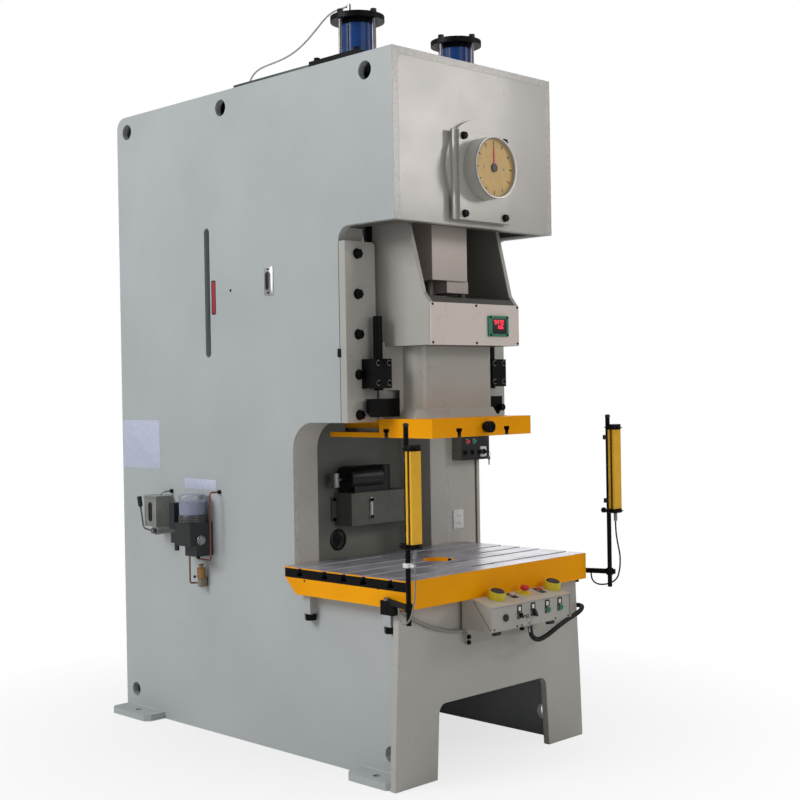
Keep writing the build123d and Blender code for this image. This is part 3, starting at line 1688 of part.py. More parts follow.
# Small push buttons, two on the slope and two on the front
for button_name, button_plane, button_place, button_height in (
    ("ready_button", panel_slope, top_button_places[0], button_line),
    ("reset_button", panel_slope, top_button_places[1], button_line),
    ("start_button", panel_front, green_places[0], front_row_z),
    ("run_button", panel_front, green_places[1], front_row_z),
):
    with BuildPart() as push_button:
        with BuildSketch(button_plane.offset(button_travel + 1)):
            with Locations((button_place, button_height)):
                Circle(button_radius)
        extrude(amount=legend_thick + bezel_height + button_proud - button_travel - 1)
    push_button.part.label = button_name
    export_step(push_button.part, "parts/" + button_name + ".step")

# Key switch and selector: a round boss with a grip across it
for knob_name, knob_place, grip_length, grip_thick in (
    ("key_switch", key_place, 26.0, 4.0),
    ("mode_selector", selector_place, knob_handle_length, 9.0),
):
    with BuildPart() as knob:
        with BuildSketch(panel_front.offset(1)):
            with Locations((knob_place, front_row_z)):
                Circle(button_radius)
        extrude(amount=legend_thick + bezel_height + 1)
        with BuildSketch(panel_front.offset(legend_thick + bezel_height + 1)):
            with Locations((knob_place, front_row_z)):
                SlotOverall(grip_length, grip_thick, rotation=-60)
        extrude(amount=knob_height)
    knob.part.label = knob_name
    export_step(knob.part, "parts/" + knob_name + ".step")

# Overload unit on the recessed wall: an oil tank with ears and the pump on top of it
with BuildPart() as overload_unit:
    tank_rear = behind(recess_depth)
    block(tank_left_x, tank_right_x, tank_rear - tank_depth, tank_rear, tank_bottom_z, tank_top_z)
    block(
        tank_left_x - tank_ear,
        tank_right_x + tank_ear,
        tank_rear - 12,
        tank_rear,
        tank_bottom_z + 20,
        tank_top_z - 20,
    )
    pump_y = tank_rear - tank_depth / 2
    bar_along_x(pump_left_x, pump_right_x, pump_y, tank_top_z + pump_radius + 8, pump_radius)
    block(
        pump_left_x + 20,
        pump_right_x + 40,
        pump_y - 45,
        pump_y + 45,
        tank_top_z,
        tank_top_z + pump_radius,
    )
    bar_along_z(pump_right_x + 50, pump_y, tank_top_z, tank_top_z + 120, 32)
    bar_along_x(pump_left_x - 50, pump_left_x, pump_y, tank_top_z + pump_radius + 8, 14)
    bar_along_z(pump_left_x - 60, pump_y, tank_top_z + 30, tank_top_z + 95, 22)
overload_unit.part.label = "overload_unit"
export_step(overload_unit.part, "parts/overload_unit.step")

# Hand pump on the left side plate: a bracket, the housing and the boss of its lever
with BuildPart() as hand_pump:
    pump_x0 = -half_width
    pump_x1 = pump_x0 - hand_pump_bracket
    pump_x2 = pump_x1 - hand_pump_depth
    pump_y0 = behind(hand_pump_place)
    pump_y1 = pump_y0 + hand_pump_width
    pump_z1 = hand_pump_bottom_z + hand_pump_height
    lever_y = behind(lever_axle_place)
    lever_z = hand_pump_bottom_z - lever_axle_drop
    block(
        pump_x0,
        pump_x1,
        pump_y0 - hand_pump_bracket,
        pump_y1 + hand_pump_bracket,
        hand_pump_bottom_z + hand_pump_bracket,
        pump_z1 - hand_pump_bracket,
    )
    block(pump_x1, pump_x2, pump_y0, pump_y1, hand_pump_bottom_z, pump_z1)
    block(
        pump_x1 - hand_pump_lid_lip,
        pump_x2 - hand_pump_lid_lip,
        pump_y0 - hand_pump_lid_lip,
        pump_y1 + hand_pump_lid_lip,
        pump_z1,
        pump_z1 + hand_pump_lid_thick,
    )
    bar_along_x(pump_x1, pump_x2, lever_y, lever_z, lever_boss_radius)
    block(
        pump_x1,
        pump_x2,
        lever_y - lever_axle_lead,
        lever_y + lever_seat_width,
        lever_z,
        hand_pump_bottom_z,
    )
    bar_along_x(pump_x2 - lever_pin_length, pump_x2, lever_y, lever_z, lever_pin_radius)
hand_pump.part.label = "hand_pump"
export_step(hand_pump.part, "parts/hand_pump.step")

# Lever of the hand pump, bent up behind the housing
with BuildPart() as pump_lever:
    lever_x = pump_x2 - lever_grip_radius - hand_pump_lid_lip
    with BuildLine():
        lever_path = FilletPolyline(
            (lever_x, lever_y + lever_boss_radius / 2, lever_z),
            (lever_x, lever_y + lever_bend_back, lever_z + lever_bend_rise),
            (lever_x, lever_y + lever_top_back, lever_z + lever_top_rise),
            radius=lever_bend_radius,
        )
    with BuildSketch(Plane(lever_path @ 0, z_dir=lever_path % 0)):
        Circle(lever_rod_radius)
    sweep(path=lever_path)
    hub_x = pump_x2 - lever_hub_gap
    bar_along_x(pump_x2 - lever_pin_length, hub_x, lever_y, lever_z, lever_hub_radius)
    with BuildSketch(Plane(lever_path @ 1, z_dir=lever_path % 1)):
        Circle(lever_grip_radius)
    extrude(amount=lever_grip_length)
    bar_along_x(
        pump_x2 - lever_pin_length,
        hub_x,
        lever_y,
        lever_z,
        lever_pin_radius + running_clearance,
        mode=Mode.SUBTRACT,
    )
pump_lever.part.label = "pump_lever"
export_step(pump_lever.part, "parts/pump_lever.step")

# Lubrication pump: cast base, cable box and its own fittings
with BuildPart() as lube_pump:
    base_x = -half_width - lube_out
    base_y = behind(lube_place)
    block(
        -half_width,
        base_x - lube_base_half,
        base_y - lube_base_half,
        base_y + lube_base_half,
        lube_base_bottom_z + lube_step_height,
        lube_base_top_z,
    )
    block(
        -half_width,
        base_x - lube_base_half * 0.4,
        base_y - lube_base_half,
        base_y + lube_base_half * 0.5,
        lube_base_bottom_z,
        lube_base_bottom_z + lube_step_height,
    )
    plug_y = base_y + lube_base_half
    plug_x = base_x - (lube_plug_outer + lube_plug_inner) / 2
    plug_top_z = lube_base_top_z - lube_plug_drop
    plug_bottom_z = plug_top_z - lube_plug_height
    block(
        base_x - lube_plug_outer,
        base_x - lube_plug_inner,
        plug_y,
        plug_y + lube_plug_length,
        plug_bottom_z,
        plug_top_z,
    )
    lead_y = plug_y + lube_plug_length / 2
    bar_along_z(plug_x, lead_y, plug_bottom_z - lube_lead_length, plug_bottom_z, lube_lead_radius)
    block(
        base_x - lube_neck_half,
        base_x + lube_neck_half,
        plug_y,
        plug_y + lube_neck_length,
        plug_top_z - lube_lead_length,
        lube_base_top_z,
    )
    box_y = behind(lube_box_place)
    box_bottom_z = lube_base_top_z - lube_box_drop
    box_top_z = box_bottom_z + lube_box_height
    box_x = base_x - lube_box_outer
    block(box_x, box_x + lube_box_width, box_y, box_y + lube_box_length, box_bottom_z, box_top_z)
    block(
        -half_width,
        base_x - lube_box_plate_outer,
        box_y,
        box_y + lube_box_plate,
        box_bottom_z,
        box_top_z,
    )
lube_pump.part.label = "lube_pump"
export_step(lube_pump.part, "parts/lube_pump.step")

# Clear reservoir on the lubrication pump
with BuildPart() as reservoir:
    bar_along_z(base_x, base_y, lube_base_top_z, lube_base_top_z + reservoir_height, reservoir_radius)
reservoir.part.label = "reservoir"
export_step(reservoir.part, "parts/reservoir.step")

# Brass valve on its bracket, and the two oil pipes
with BuildPart() as oil_pipes:
    valve_x = -half_width - valve_out
    valve_y = behind(valve_place)
    bar_along_z(valve_x, valve_y, valve_bottom_z, valve_bottom_z + valve_height, valve_radius)
    block(
        -half_width,
        valve_x - valve_bracket_half,
        valve_y - valve_bracket_half,
        valve_y + valve_bracket_half,
        valve_bottom_z - valve_bracket_drop,
        valve_bottom_z,
    )
    pipe_x = -half_width - pipe_out
    feed_y = behind(feed_pipe_place)
    feed_end_y = base_y - lube_base_half * 0.4
    feed_low_z = lube_base_bottom_z - feed_pipe_drop
    drain_y = base_y + lube_base_half * 0.7
    drain_low_z = valve_bottom_z - drain_pipe_drop
    for pipe_points, pipe_bends in (
        (
            (
                (-half_width, feed_y, lube_base_top_z + feed_pipe_rise),
                (pipe_x, feed_y, lube_base_top_z + feed_pipe_rise),
                (pipe_x, feed_y, feed_low_z),
                (pipe_x, feed_end_y, feed_low_z),
                (pipe_x, feed_end_y, lube_base_bottom_z),
            ),
            [pipe_bend_radius, pipe_bend_radius, pipe_radius + 1],
        ),
        (
            (
                (pipe_x, drain_y, lube_base_bottom_z + lube_step_height),
                (pipe_x, drain_y, drain_low_z),
                (valve_x, drain_y, drain_low_z),
                (valve_x, valve_y + valve_bracket_half, drain_low_z),
            ),
            [pipe_bend_radius, pipe_bend_radius],
        ),
    ):
        with BuildLine() as pipe_line:
            pipe_path = FilletPolyline(*pipe_points, radius=pipe_bends)
        with BuildSketch(Plane(pipe_path @ 0, z_dir=pipe_path % 0)):
            Circle(pipe_radius)
        sweep(path=pipe_path)
oil_pipes.part.label = "oil_pipes"
export_step(oil_pipes.part, "parts/oil_pipes.step")


def cord_radii(points):
    """Return the bend radius at each inner point, as large as the two runs beside it allow."""
    radii = []
    for before, corner, after in zip(points, points[1:], points[2:]):
        run_in = Vector(*corner) - Vector(*before)
        run_out = Vector(*after) - Vector(*corner)
        half_turn = math.radians(run_in.get_angle(run_out)) / 2
        radii.append(0.45 * min(run_in.length, run_out.length) / math.tan(half_turn))
    return radii


# Free cords. Each point is its X, how far it lies behind the slide's centre line, and its Z.
cord_routes = {
    "air_tube": (
        air_tube_radius,
        (
            (air_cap_x, air_cap_place + air_stub_length, air_cap_top_z - air_fitting_radius),
            (air_cap_x, 165, air_cap_top_z - air_fitting_radius),
            (-348, 213, frame_height + 264),
            (-352, 258, frame_height + 245),
            (-358, 300, frame_height + 212),
            (-364, 346, frame_height + 178),
            (-370, 396, frame_height + 147),
            (-376, 451, frame_height + 124),
            (-380, 509, frame_height + 111),
            (-382, 566, frame_height + 105),
            (-384, 624, frame_height + 101),
            (-385, 680, frame_height + 94),
            (-385, 722, frame_height + 76),
            (air_roof_x, air_roof_place, air_roof_z + 27),
            (air_roof_x, air_roof_place, air_roof_z),
        ),
    ),
    "curtain_cable_left": (
        curtain_cable_radius,
        (
            (-post_x, -post_reach - curtain_offset, curtain_bottoms[0] - plug_length),
            (-post_x, -post_reach - curtain_offset, 900),
            (-648, -528, 850),
            (-656, -533, 801),
            (-667, -533, 754),
            (-675, -524, 709),
            (-660, -473, 682),
            (-630, -425, 690),
            (-cable_end_x, -cable_end_reach, 712),
            (-cable_end_x, -cable_end_reach, arm_z - arm_height / 2),
        ),
    ),
    "curtain_cable_right": (
        curtain_cable_radius,
        (
            (post_x, -post_reach - curtain_offset, curtain_bottoms[1] - plug_length),
            (post_x, -post_reach - curtain_offset, 945),
            (657, -519, 905),
            (673, -515, 865),
            (690, -512, 825),
            (697, -508, 785),
            (696, -503, 746),
            (691, -494, 712),
            (671, -466, 688),
            (640, -424, 684),
            (cable_end_x, -cable_end_reach, 708),
            (cable_end_x, -cable_end_reach, arm_z - arm_height / 2),
        ),
    ),
    "panel_hose": (
        panel_hose_radius,
        (
            (98, -470, panel_bottom_z),
            (98, -470, 560),
            (112, -469, 526),
            (160, -465, 506),
            (235, -455, 517),
            (320, -441, 539),
            (405, -425, 556),
            (490, -408, 566),
            (557, -390, 577),
            (606, -360, 586),
            (613, -318, 586),
            (590, -288, 581),
            (545, -283, 577),
            (half_width, -283, 577),
        ),
    ),
    "panel_conduit": (
        panel_conduit_radius,
        (
            (-560, -364, 712),
            (-523, -364, 690),
            (-482, -364, 665),
            (-424, -364, 638),
            (-366, -364, 617),
            (-306, -364, 600),
            (-246, -364, 588),
            (panel_left_x + hanger_inset, -364, 588),
        ),
    ),
}
for cord_name, (cord_radius, cord_points) in cord_routes.items():
    route = [(x, behind(place), z) for x, place, z in cord_points]
    radii = cord_radii(route)
    with BuildPart() as cord:
        with BuildLine():
            cord_path = FilletPolyline(*route, radius=radii)
        with BuildSketch(Plane(cord_path @ 0, z_dir=cord_path % 0)):
            Circle(cord_radius)
        sweep(path=cord_path)
    cord_length = cord_path.length
    print(cord_name, "length", round(cord_length), "radii", [round(radius) for radius in radii])
    print("  volume over section times length", round(cord.part.volume / (math.pi * cord_radius**2 * cord_length), 4))
    cord.part.label = cord_name
    export_step(cord.part, "parts/" + cord_name + ".step")
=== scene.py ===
"""Looks of the stamping press: enamels, ground steel, plastics, small fittings, cords and the studio."""

import logging
import math
from collections.abc import Iterable
from dataclasses import dataclass
from enum import Enum
from functools import cached_property, reduce
from itertools import product
from operator import add

import bpy
import numpy as np
from mathutils import Matrix, Vector


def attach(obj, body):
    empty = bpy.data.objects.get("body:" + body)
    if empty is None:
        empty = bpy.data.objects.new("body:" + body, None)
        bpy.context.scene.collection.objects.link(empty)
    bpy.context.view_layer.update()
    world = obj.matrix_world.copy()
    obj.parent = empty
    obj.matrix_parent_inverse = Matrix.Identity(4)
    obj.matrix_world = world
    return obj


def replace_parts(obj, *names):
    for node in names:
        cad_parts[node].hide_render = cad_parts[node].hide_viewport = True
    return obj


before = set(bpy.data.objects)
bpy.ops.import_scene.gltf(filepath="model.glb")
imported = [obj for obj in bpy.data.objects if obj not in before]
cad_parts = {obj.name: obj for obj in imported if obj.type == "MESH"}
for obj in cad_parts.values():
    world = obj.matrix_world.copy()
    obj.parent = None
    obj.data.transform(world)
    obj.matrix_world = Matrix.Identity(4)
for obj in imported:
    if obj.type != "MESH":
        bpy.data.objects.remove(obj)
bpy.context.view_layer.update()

SLIDE_Y = -648.0
LOG = logging.getLogger("press")

Socket = bpy.types.NodeSocket
Point = tuple[float, float, float]
Band = tuple[int, float, float]
Rect = tuple[float, float, float, float]
Spread = tuple[float | tuple[float, ...], ...]
Feeds = dict[str | int, Socket | float | Rect]


def srgb(code: str, alpha: float = 1.0) -> Rect:
    """Turn an sRGB hex colour into the linear values that the shader takes.

    Args:
        code: Six hex digits after a #.
        alpha: Opacity that goes with the colour.

    Returns:
        Linear red, green, blue and the alpha.
    """
    parts = [int(code[i:i + 2], 16) / 255 for i in (1, 3, 5)]
    linear = [p / 12.92 if p <= 0.04045 else ((p + 0.055) / 1.055) ** 2.4 for p in parts]
    return (*linear, alpha)


def at(x: float, place: float, z: float) -> np.ndarray:
    """Return a point in metres from X, the distance behind the slide's centre line and Z in millimetres."""
    return np.array([x, SLIDE_Y + place, z]) / 1000


# Seats and surfaces


class Side(Enum):
    """The directions that a flat piece can look: outward, and to the right when seen from outside."""

    LEFT = ((-1, 0, 0), (0, -1, 0))
    RIGHT = ((1, 0, 0), (0, 1, 0))
    FRONT = ((0, -1, 0), (1, 0, 0))
    BACK = ((0, 1, 0), (-1, 0, 0))
    TOP = ((0, 0, 1), (1, 0, 0))
    UNDER = ((0, 0, -1), (1, 0, 0))


@dataclass(frozen=True)
class Seat:
    """A place on the press that a piece sits on, with its own right, up and outward directions."""

    origin: Point
    side: Side

    def map(self, points: np.ndarray) -> np.ndarray:
        """Carry points given as right, up and outward millimetres to metres in the press.

        Args:
            points: Array of any shape whose last axis has three values.

        Returns:
            The same array in the press's frame, in metres.
        """
        outward, right = np.array(self.side.value, float)
        return at(*self.origin) + points @ np.stack([right, np.cross(outward, right), outward]) / 1000


def seats(side: Side, *points: Spread) -> list[Seat]:
    """Return a seat at every point, where a coordinate that holds several values stands for each of them.

    Args:
        side: Direction that the seats look in.
        points: X, place and Z in millimetres, each a number or a group of numbers.

    Returns:
        The seats, in the order of the points.
    """
    spread = [[value if isinstance(value, tuple) else (value,) for value in point] for point in points]
    return [Seat(spot, side) for values in spread for spot in product(*values)]


@dataclass
class Solid:
    """Points and faces of one surface."""

    points: np.ndarray
    faces: list[tuple[int, ...]]

    def __add__(self, other: "Solid") -> "Solid":
        """Join two surfaces into one list of points and faces."""
        shift = len(self.points)
        faces = [tuple(i + shift for i in face) for face in other.faces]
        return Solid(np.concatenate([self.points, other.points]), self.faces + faces)

    def moved(self, right: float = 0.0, up: float = 0.0, out: float = 0.0) -> "Solid":
        """Shift the surface on its seat."""
        return Solid(self.points + np.array([right, up, out]), self.faces)

    def outward(self) -> "Solid":
        """Turn a closed surface's faces round if they look inward, which its signed volume tells."""
        volume = sum(self.points[face[0]] @ np.cross(self.points[face[i]], self.points[face[i + 1]])
                     for face in self.faces for i in range(1, len(face) - 1))
        return self if volume > 0 else Solid(self.points, [face[::-1] for face in self.faces])


def joined(solids: Iterable[Solid]) -> Solid:
    """Join several surfaces into one."""
    return reduce(add, solids)


def loft(rings: np.ndarray, closed: bool = False) -> Solid:
    """Join rings of points into a skin: ring i is the shape's cross-section at step i.

    Args:
        rings: Array of steps by points by three.
        closed: True if the last ring meets the first again, as on a frame round a window.

    Returns:
        The skin, with flat caps on its two ends where it isn't closed.
    """
    steps, count = rings.shape[:2]
    index = np.arange(steps * count).reshape(steps, count)
    if closed:
        index = np.concatenate([index, index[:1]])
    ahead = np.roll(index, -1, axis=1)
    quads = np.stack([index[:-1], ahead[:-1], ahead[1:], index[1:]], axis=-1).reshape(-1, 4)
    faces = [tuple(q) for q in quads.tolist()]
    if not closed:
        faces.append(tuple(reversed(range(count))))
        faces.append(tuple(range((steps - 1) * count, steps * count)))
    return Solid(rings.reshape(-1, 3), faces)


def skin(sections: Iterable[tuple[np.ndarray, float]], closed: bool = False) -> Solid:
    """Join flat outlines: each is laid at its height above the seat.

    Args:
        sections: Outlines of equal counts, each with its height in millimetres.
        closed: True if the last outline meets the first again.

    Returns:
        The skin over the outlines.
    """
    rings = [np.column_stack([outline, np.full(len(outline), height)]) for outline, height in sections]
    return loft(np.stack(rings), closed)


def circle(radius: float, count: int = 32) -> np.ndarray:
    """Return a circle as x = r cos t, y = r sin t, with t in even steps."""
    t = np.linspace(0, 2 * np.pi, count, endpoint=False)
    return np.stack([radius * np.cos(t), radius * np.sin(t)], axis=-1)


def rounded(width: float, height: float, corner: float, per_corner: int = 5) -> np.ndarray:
    """Return a rectangle with round corners: quarter arcs about four corner centres, joined by straight runs."""
    t = np.linspace(0, np.pi / 2, per_corner)
    quarter = np.arange(4)[:, None] * np.pi / 2 + t[None, :]
    centre_x = np.array([1, -1, -1, 1])[:, None] * (width / 2 - corner)
    centre_y = np.array([1, 1, -1, -1])[:, None] * (height / 2 - corner)
    x = centre_x + corner * np.cos(quarter)
    y = centre_y + corner * np.sin(quarter)
    return np.stack([x, y], axis=-1).reshape(-1, 2)


def hexagon(flats: float) -> np.ndarray:
    """Return a hexagon of this size across its flats, as 6 corners with 3 more points on each side."""
    corner = circle(flats / math.sqrt(3), 6)
    step = np.linspace(0, 1, 4, endpoint=False)[None, :, None]
    return (corner[:, None] * (1 - step) + np.roll(corner, -1, axis=0)[:, None] * step).reshape(-1, 2)


def turned(profile: Iterable[tuple[float, float]], count: int = 32, closed: bool = False) -> Solid:
    """Turn a profile about the outward direction: each pair gives a circle of that radius at that height.

    Args:
        profile: Radius and height pairs in millimetres, from the seat outwards.
        count: Points in each circle.
        closed: True if the profile is a ring's whole section, which meets itself again.

    Returns:
        The turned surface.
    """
    return skin([(circle(radius, count), height) for radius, height in profile], closed)


def slab(outline: np.ndarray, depth: float, bevel: float = 0.6, base: float = 0.0) -> Solid:
    """Raise an outline to a depth, its outer edge rounded by scaling the last rings towards the middle.

    Args:
        outline: Points of the outline in millimetres.
        depth: Height above the seat.
        bevel: Size of the edge break.
        base: Height at which the slab starts.

    Returns:
        The slab.
    """
    half = np.abs(outline - outline.mean(axis=0)).max()
    steps = ((0, base), (0, depth - bevel), (0.3 * bevel, depth - 0.3 * bevel), (bevel, depth))
    return skin([(outline * (1 - inset / half), height) for inset, height in steps])


def rim(outer: np.ndarray, inner: np.ndarray, depth: float, bevel: float = 0.5, base: float = 0.0) -> Solid:
    """Make a frame round a window: outer and inner outlines joined round a square section with broken edges.

    Args:
        outer: Outer outline in millimetres.
        inner: Outline of the window, with as many points.
        depth: Height above the seat.
        bevel: Size of the edge break.
        base: Height at which the frame starts.

    Returns:
        The frame.
    """
    inset = (outer - inner) / np.abs(outer - inner).max() * bevel
    return skin([(outer, base), (outer, depth - bevel), (outer - inset, depth), (inner + inset, depth),
                 (inner, depth - bevel), (inner, base)], closed=True)


def tube(path: np.ndarray, radius: np.ndarray | float, count: int = 16) -> Solid:
    """Carry a circle along a path: each ring is r (n cos t + b sin t) about the path's point.

    The two directions n and b are turned step by step, so that the tube has no twist.

    Args:
        path: Points of the centre line.
        radius: Radius, one for all or one for each point.
        count: Points in each ring.

    Returns:
        The tube with capped ends.
    """
    ahead = np.gradient(path, axis=0)
    ahead /= np.linalg.norm(ahead, axis=1, keepdims=True)
    normal = np.empty_like(ahead)
    start = np.cross(ahead[0], [0.31, 0.57, 0.76])
    normal[0] = start / np.linalg.norm(start)
    for i in range(1, len(path)):
        flat = normal[i - 1] - ahead[i] * (normal[i - 1] @ ahead[i])
        normal[i] = flat / np.linalg.norm(flat)
    side = np.cross(ahead, normal)
    t = np.linspace(0, 2 * np.pi, count, endpoint=False)[None, :, None]
    ring = normal[:, None] * np.cos(t) + side[:, None] * np.sin(t)
    return loft(path[:, None] + ring * np.broadcast_to(radius, len(path))[:, None, None])


def bolt_head(flats: float, height: float) -> Solid:
    """Return a washer with a chamfered hexagon head on it."""
    washer = turned([(flats * 0.62, 0), (flats * 0.62, 1.6), (flats * 0.6, 2.2)])
    return washer + slab(hexagon(flats), height, bevel=flats * 0.07, base=2.0)


def socket_screw(radius: float, height: float) -> Solid:
    """Return a cap screw: a cylinder with a broken edge and a round socket sunk in its top."""
    edge, bore, count = 0.8, radius * 0.52, 24
    return turned([(radius, 0.0), (radius, height - edge), (radius - edge, height), (bore, height),
                   (bore * 0.98, height * 0.45)], count)


def weld_bead(start: np.ndarray, end: np.ndarray, size_mm: float) -> Solid:
    """Lay a weld bead along a line: radius r = size (1 + 0.12 |sin(pi s / pitch)|) with a ripple pitch of 6 mm.

    Args:
        start: First point in metres.
        end: Last point in metres.
        size_mm: Radius of the bead, which thins out over its first and last 5 mm.

    Returns:
        The bead, in metres.
    """
    length = np.linalg.norm(end - start) * 1000
    s = np.linspace(0, length, max(8, int(length / 1.5)))
    radius = size_mm * (1 + 0.12 * np.abs(np.sin(np.pi * s / 6))) / 1000
    radius *= np.clip(np.minimum(s, length - s) / 5, 0.25, 1)
    return tube(start + (end - start) * (s / length)[:, None], radius, 10)


# Finishes


@dataclass(frozen=True)
class Grain:
    """A noise whose grain has a real size, with finer octaves, drawn longer along X, Y and Z by the stretch."""

    size_mm: float
    detail: float = 2.0
    stretch: Point = (1, 1, 1)


@dataclass
class Graph:
    """A node tree that is being built, and the patterns that the finishes share."""

    tree: bpy.types.NodeTree

    def __post_init__(self) -> None:
        """Start from an empty tree."""
        self.tree.nodes.clear()

    def add_node(self, kind: str, settings: dict | None = None, links: Feeds | None = None) -> bpy.types.Node:
        """Add a node with its settings and its links.

        Args:
            kind: Node type name.
            settings: Property names, or socket names or numbers, with their values.
            links: Input socket names or numbers, with the output socket that feeds each.

        Returns:
            The new node.
        """
        node = self.tree.nodes.new(kind)
        for key, value in (settings or {}).items():
            if isinstance(key, str) and hasattr(node, key):
                setattr(node, key, value)
            else:
                node.inputs[key].default_value = value
        self.feed(node, links or {})
        return node

    def feed(self, node: bpy.types.Node, feeds: Feeds) -> None:
        """Link each input of a node to the output that feeds it, or set it to its value."""
        for key, value in feeds.items():
            if isinstance(value, bpy.types.NodeSocket):
                self.tree.links.new(value, node.inputs[key])
            else:
                node.inputs[key].default_value = value

    @cached_property
    def place(self) -> Socket:
        """Object coordinates in metres."""
        return self.add_node("ShaderNodeTexCoord").outputs["Object"]

    def height(self, grain: Grain) -> Socket:
        """Return a grain's noise from 0 to 1."""
        stretched = self.add_node("ShaderNodeMapping", {"Scale": tuple(1 / s for s in grain.stretch)},
                                  {"Vector": self.place})
        noise = self.add_node("ShaderNodeTexNoise", {"Scale": 1000 / grain.size_mm, "Detail": grain.detail},
                              {"Vector": stretched.outputs[0]})
        return noise.outputs[0]

    def pattern(self, grain: Grain, low: float = 0.0, high: float = 1.0, start: float = 0.3,
                end: float = 0.7) -> Socket:
        """Map a grain's noise from start..end to low..high and hold it there."""
        limits = {"From Min": start, "From Max": end, "To Min": low, "To Max": high}
        return self.add_node("ShaderNodeMapRange", limits, {"Value": self.height(grain)}).outputs[0]

    def two_tone(self, grain: Grain, first: str, second: str, start: float = 0.3, end: float = 0.7) -> Socket:
        """Let a colour drift to a second one where the grain's noise rises from start to end."""
        mix = self.add_node("ShaderNodeMix", {"data_type": "RGBA", 6: srgb(first), 7: srgb(second)},
                            {0: self.pattern(grain, start=start, end=end)})
        return mix.outputs[2]

    def mottled(self, grain: Grain, colour: str, low: float, high: float) -> Socket:
        """Let a colour's brightness change between low and high."""
        return self.add_node("ShaderNodeHueSaturation", {"Color": srgb(colour)},
                             {"Value": self.pattern(grain, low, high)}).outputs[0]

    def relief(self, grain: Grain, depth_mm: float, edge_mm: float = 0.0) -> Socket:
        """Turn a grain into a normal.

        Args:
            grain: The grain that stands out.
            depth_mm: Real depth of the relief.
            edge_mm: Radius of the small round that breaks the piece's edges.

        Returns:
            The normal.
        """
        bump = self.add_node("ShaderNodeBump", {"Distance": depth_mm / 1000, "Strength": 1.0},
                             {"Height": self.height(grain)})
        if edge_mm:
            edge = self.add_node("ShaderNodeBevel", {"samples": 4, "Radius": edge_mm / 1000})
            self.feed(bump, {"Normal": edge.outputs[0]})
        return bump.outputs[0]

    def inside(self, *box: Band) -> Socket:
        """Return 1 inside a box given as axis, low and high in metres, and 0 elsewhere."""
        split = self.add_node("ShaderNodeSeparateXYZ", links={0: self.place})
        mask = None
        for axis, low, high in box:
            for test, bound in (("GREATER_THAN", low), ("LESS_THAN", high)):
                passed = self.add_node("ShaderNodeMath", {"operation": test, 1: bound},
                                       {0: split.outputs[axis]}).outputs[0]
                mask = passed if mask is None else self.both("MULTIPLY", mask, passed)
        return mask

    def both(self, operation: str, *masks: Socket) -> Socket:
        """Join masks by one operation, in order."""
        return reduce(lambda done, mask: self.add_node("ShaderNodeMath", {"operation": operation},
                                                       {0: done, 1: mask}).outputs[0], masks)


@dataclass(frozen=True)
class Patch:
    """A box on a node, given as axis, low and high in metres, where the finish differs from the rest."""

    box: tuple[Band, ...]
    colour: str
    rough: float = 0.45
    metal: float = 0.0

    def lay(self, graph: Graph, shader: bpy.types.Node) -> None:
        """Lay the patch's colour, roughness and metal over what the shader has, inside the patch's box."""
        mask = graph.inside(*self.box)
        shade = graph.mottled(Grain(14), self.colour, 0.88, 1.12)
        layers = (("Base Color", "RGBA", 6, 2, shade), ("Roughness", "FLOAT", 2, 0, self.rough),
                  ("Metallic", "FLOAT", 2, 0, self.metal))
        for name, kind, first, out, value in layers:
            target = shader.inputs[name]
            under = target.links[0].from_socket if target.is_linked else target.default_value
            mix = graph.add_node("ShaderNodeMix", {"data_type": kind}, {0: mask})
            graph.feed(mix, {first: under, first + 1: value})
            graph.feed(shader, {name: mix.outputs[out]})


@dataclass(frozen=True)
class Finish:
    """A surface finish that builds its material once and hands it out again."""

    name: str
    colour: str
    patches: tuple[Patch, ...] = ()

    def material(self) -> bpy.types.Material:
        """Return the material, built on first use."""
        made = bpy.data.materials.get(self.name)
        if not made:
            made = bpy.data.materials.new(self.name)
            made.use_nodes = True
            graph = Graph(made.node_tree)
            shader = graph.add_node("ShaderNodeBsdfPrincipled")
            graph.add_node("ShaderNodeOutputMaterial", links={0: shader.outputs[0]})
            graph.feed(shader, self.feeds(graph))
            for patch in self.patches:
                patch.lay(graph, shader)
            made.diffuse_color = srgb(self.colour)
        return made

    def feeds(self, graph: Graph) -> Feeds:
        """Return what goes into the shader. Each finish has its own."""
        raise NotImplementedError


@dataclass(frozen=True)
class Enamel(Finish):
    """Sprayed two-pack machine enamel on filled steel plate.

    It shows slow drifts of shade where the coats differ, a faint orange peel, and soft broken edges.
    """

    shade: str = "#A9ACA6"
    rough: float = 0.36
    peel_mm: float = 7.0
    drift_mm: float = 520.0
    edge_mm: float = 2.5
    coat: float = 0.15
    level: float = 0.5

    def feeds(self, graph: Graph) -> Feeds:
        """Return colour drift, sheen and orange peel (real peel is 1 to 2 mm; it is drawn coarser to show)."""
        return {"Base Color": graph.two_tone(Grain(self.drift_mm, 3), self.shade, self.colour),
                "Roughness": graph.pattern(Grain(110, 3), self.rough - 0.03, self.rough + 0.04),
                "Normal": graph.relief(Grain(self.peel_mm, 1), 0.05, self.edge_mm),
                "IOR": 1.5, "Specular IOR Level": self.level, "Coat Weight": self.coat, "Coat Roughness": 0.12}


@dataclass(frozen=True)
class GroundSteel(Finish):
    """Surface-ground steel: fine parallel grinding lines with faint oil stains."""

    line: Point = (40, 1, 1)
    rough: float = 0.28
    stain: str = "#77736B"

    def feeds(self, graph: Graph) -> Feeds:
        """Return grinding lines (real pitch is near 0.1 mm; they are drawn 2 mm wide to show)."""
        lines = Grain(2.0, 3, self.line)
        return {"Base Color": graph.two_tone(Grain(180, 4), self.colour, self.stain, 0.45, 0.75),
                "Roughness": graph.pattern(lines, self.rough - 0.08, self.rough + 0.12),
                "Normal": graph.relief(lines, 0.02, 0.6), "Metallic": 1.0}


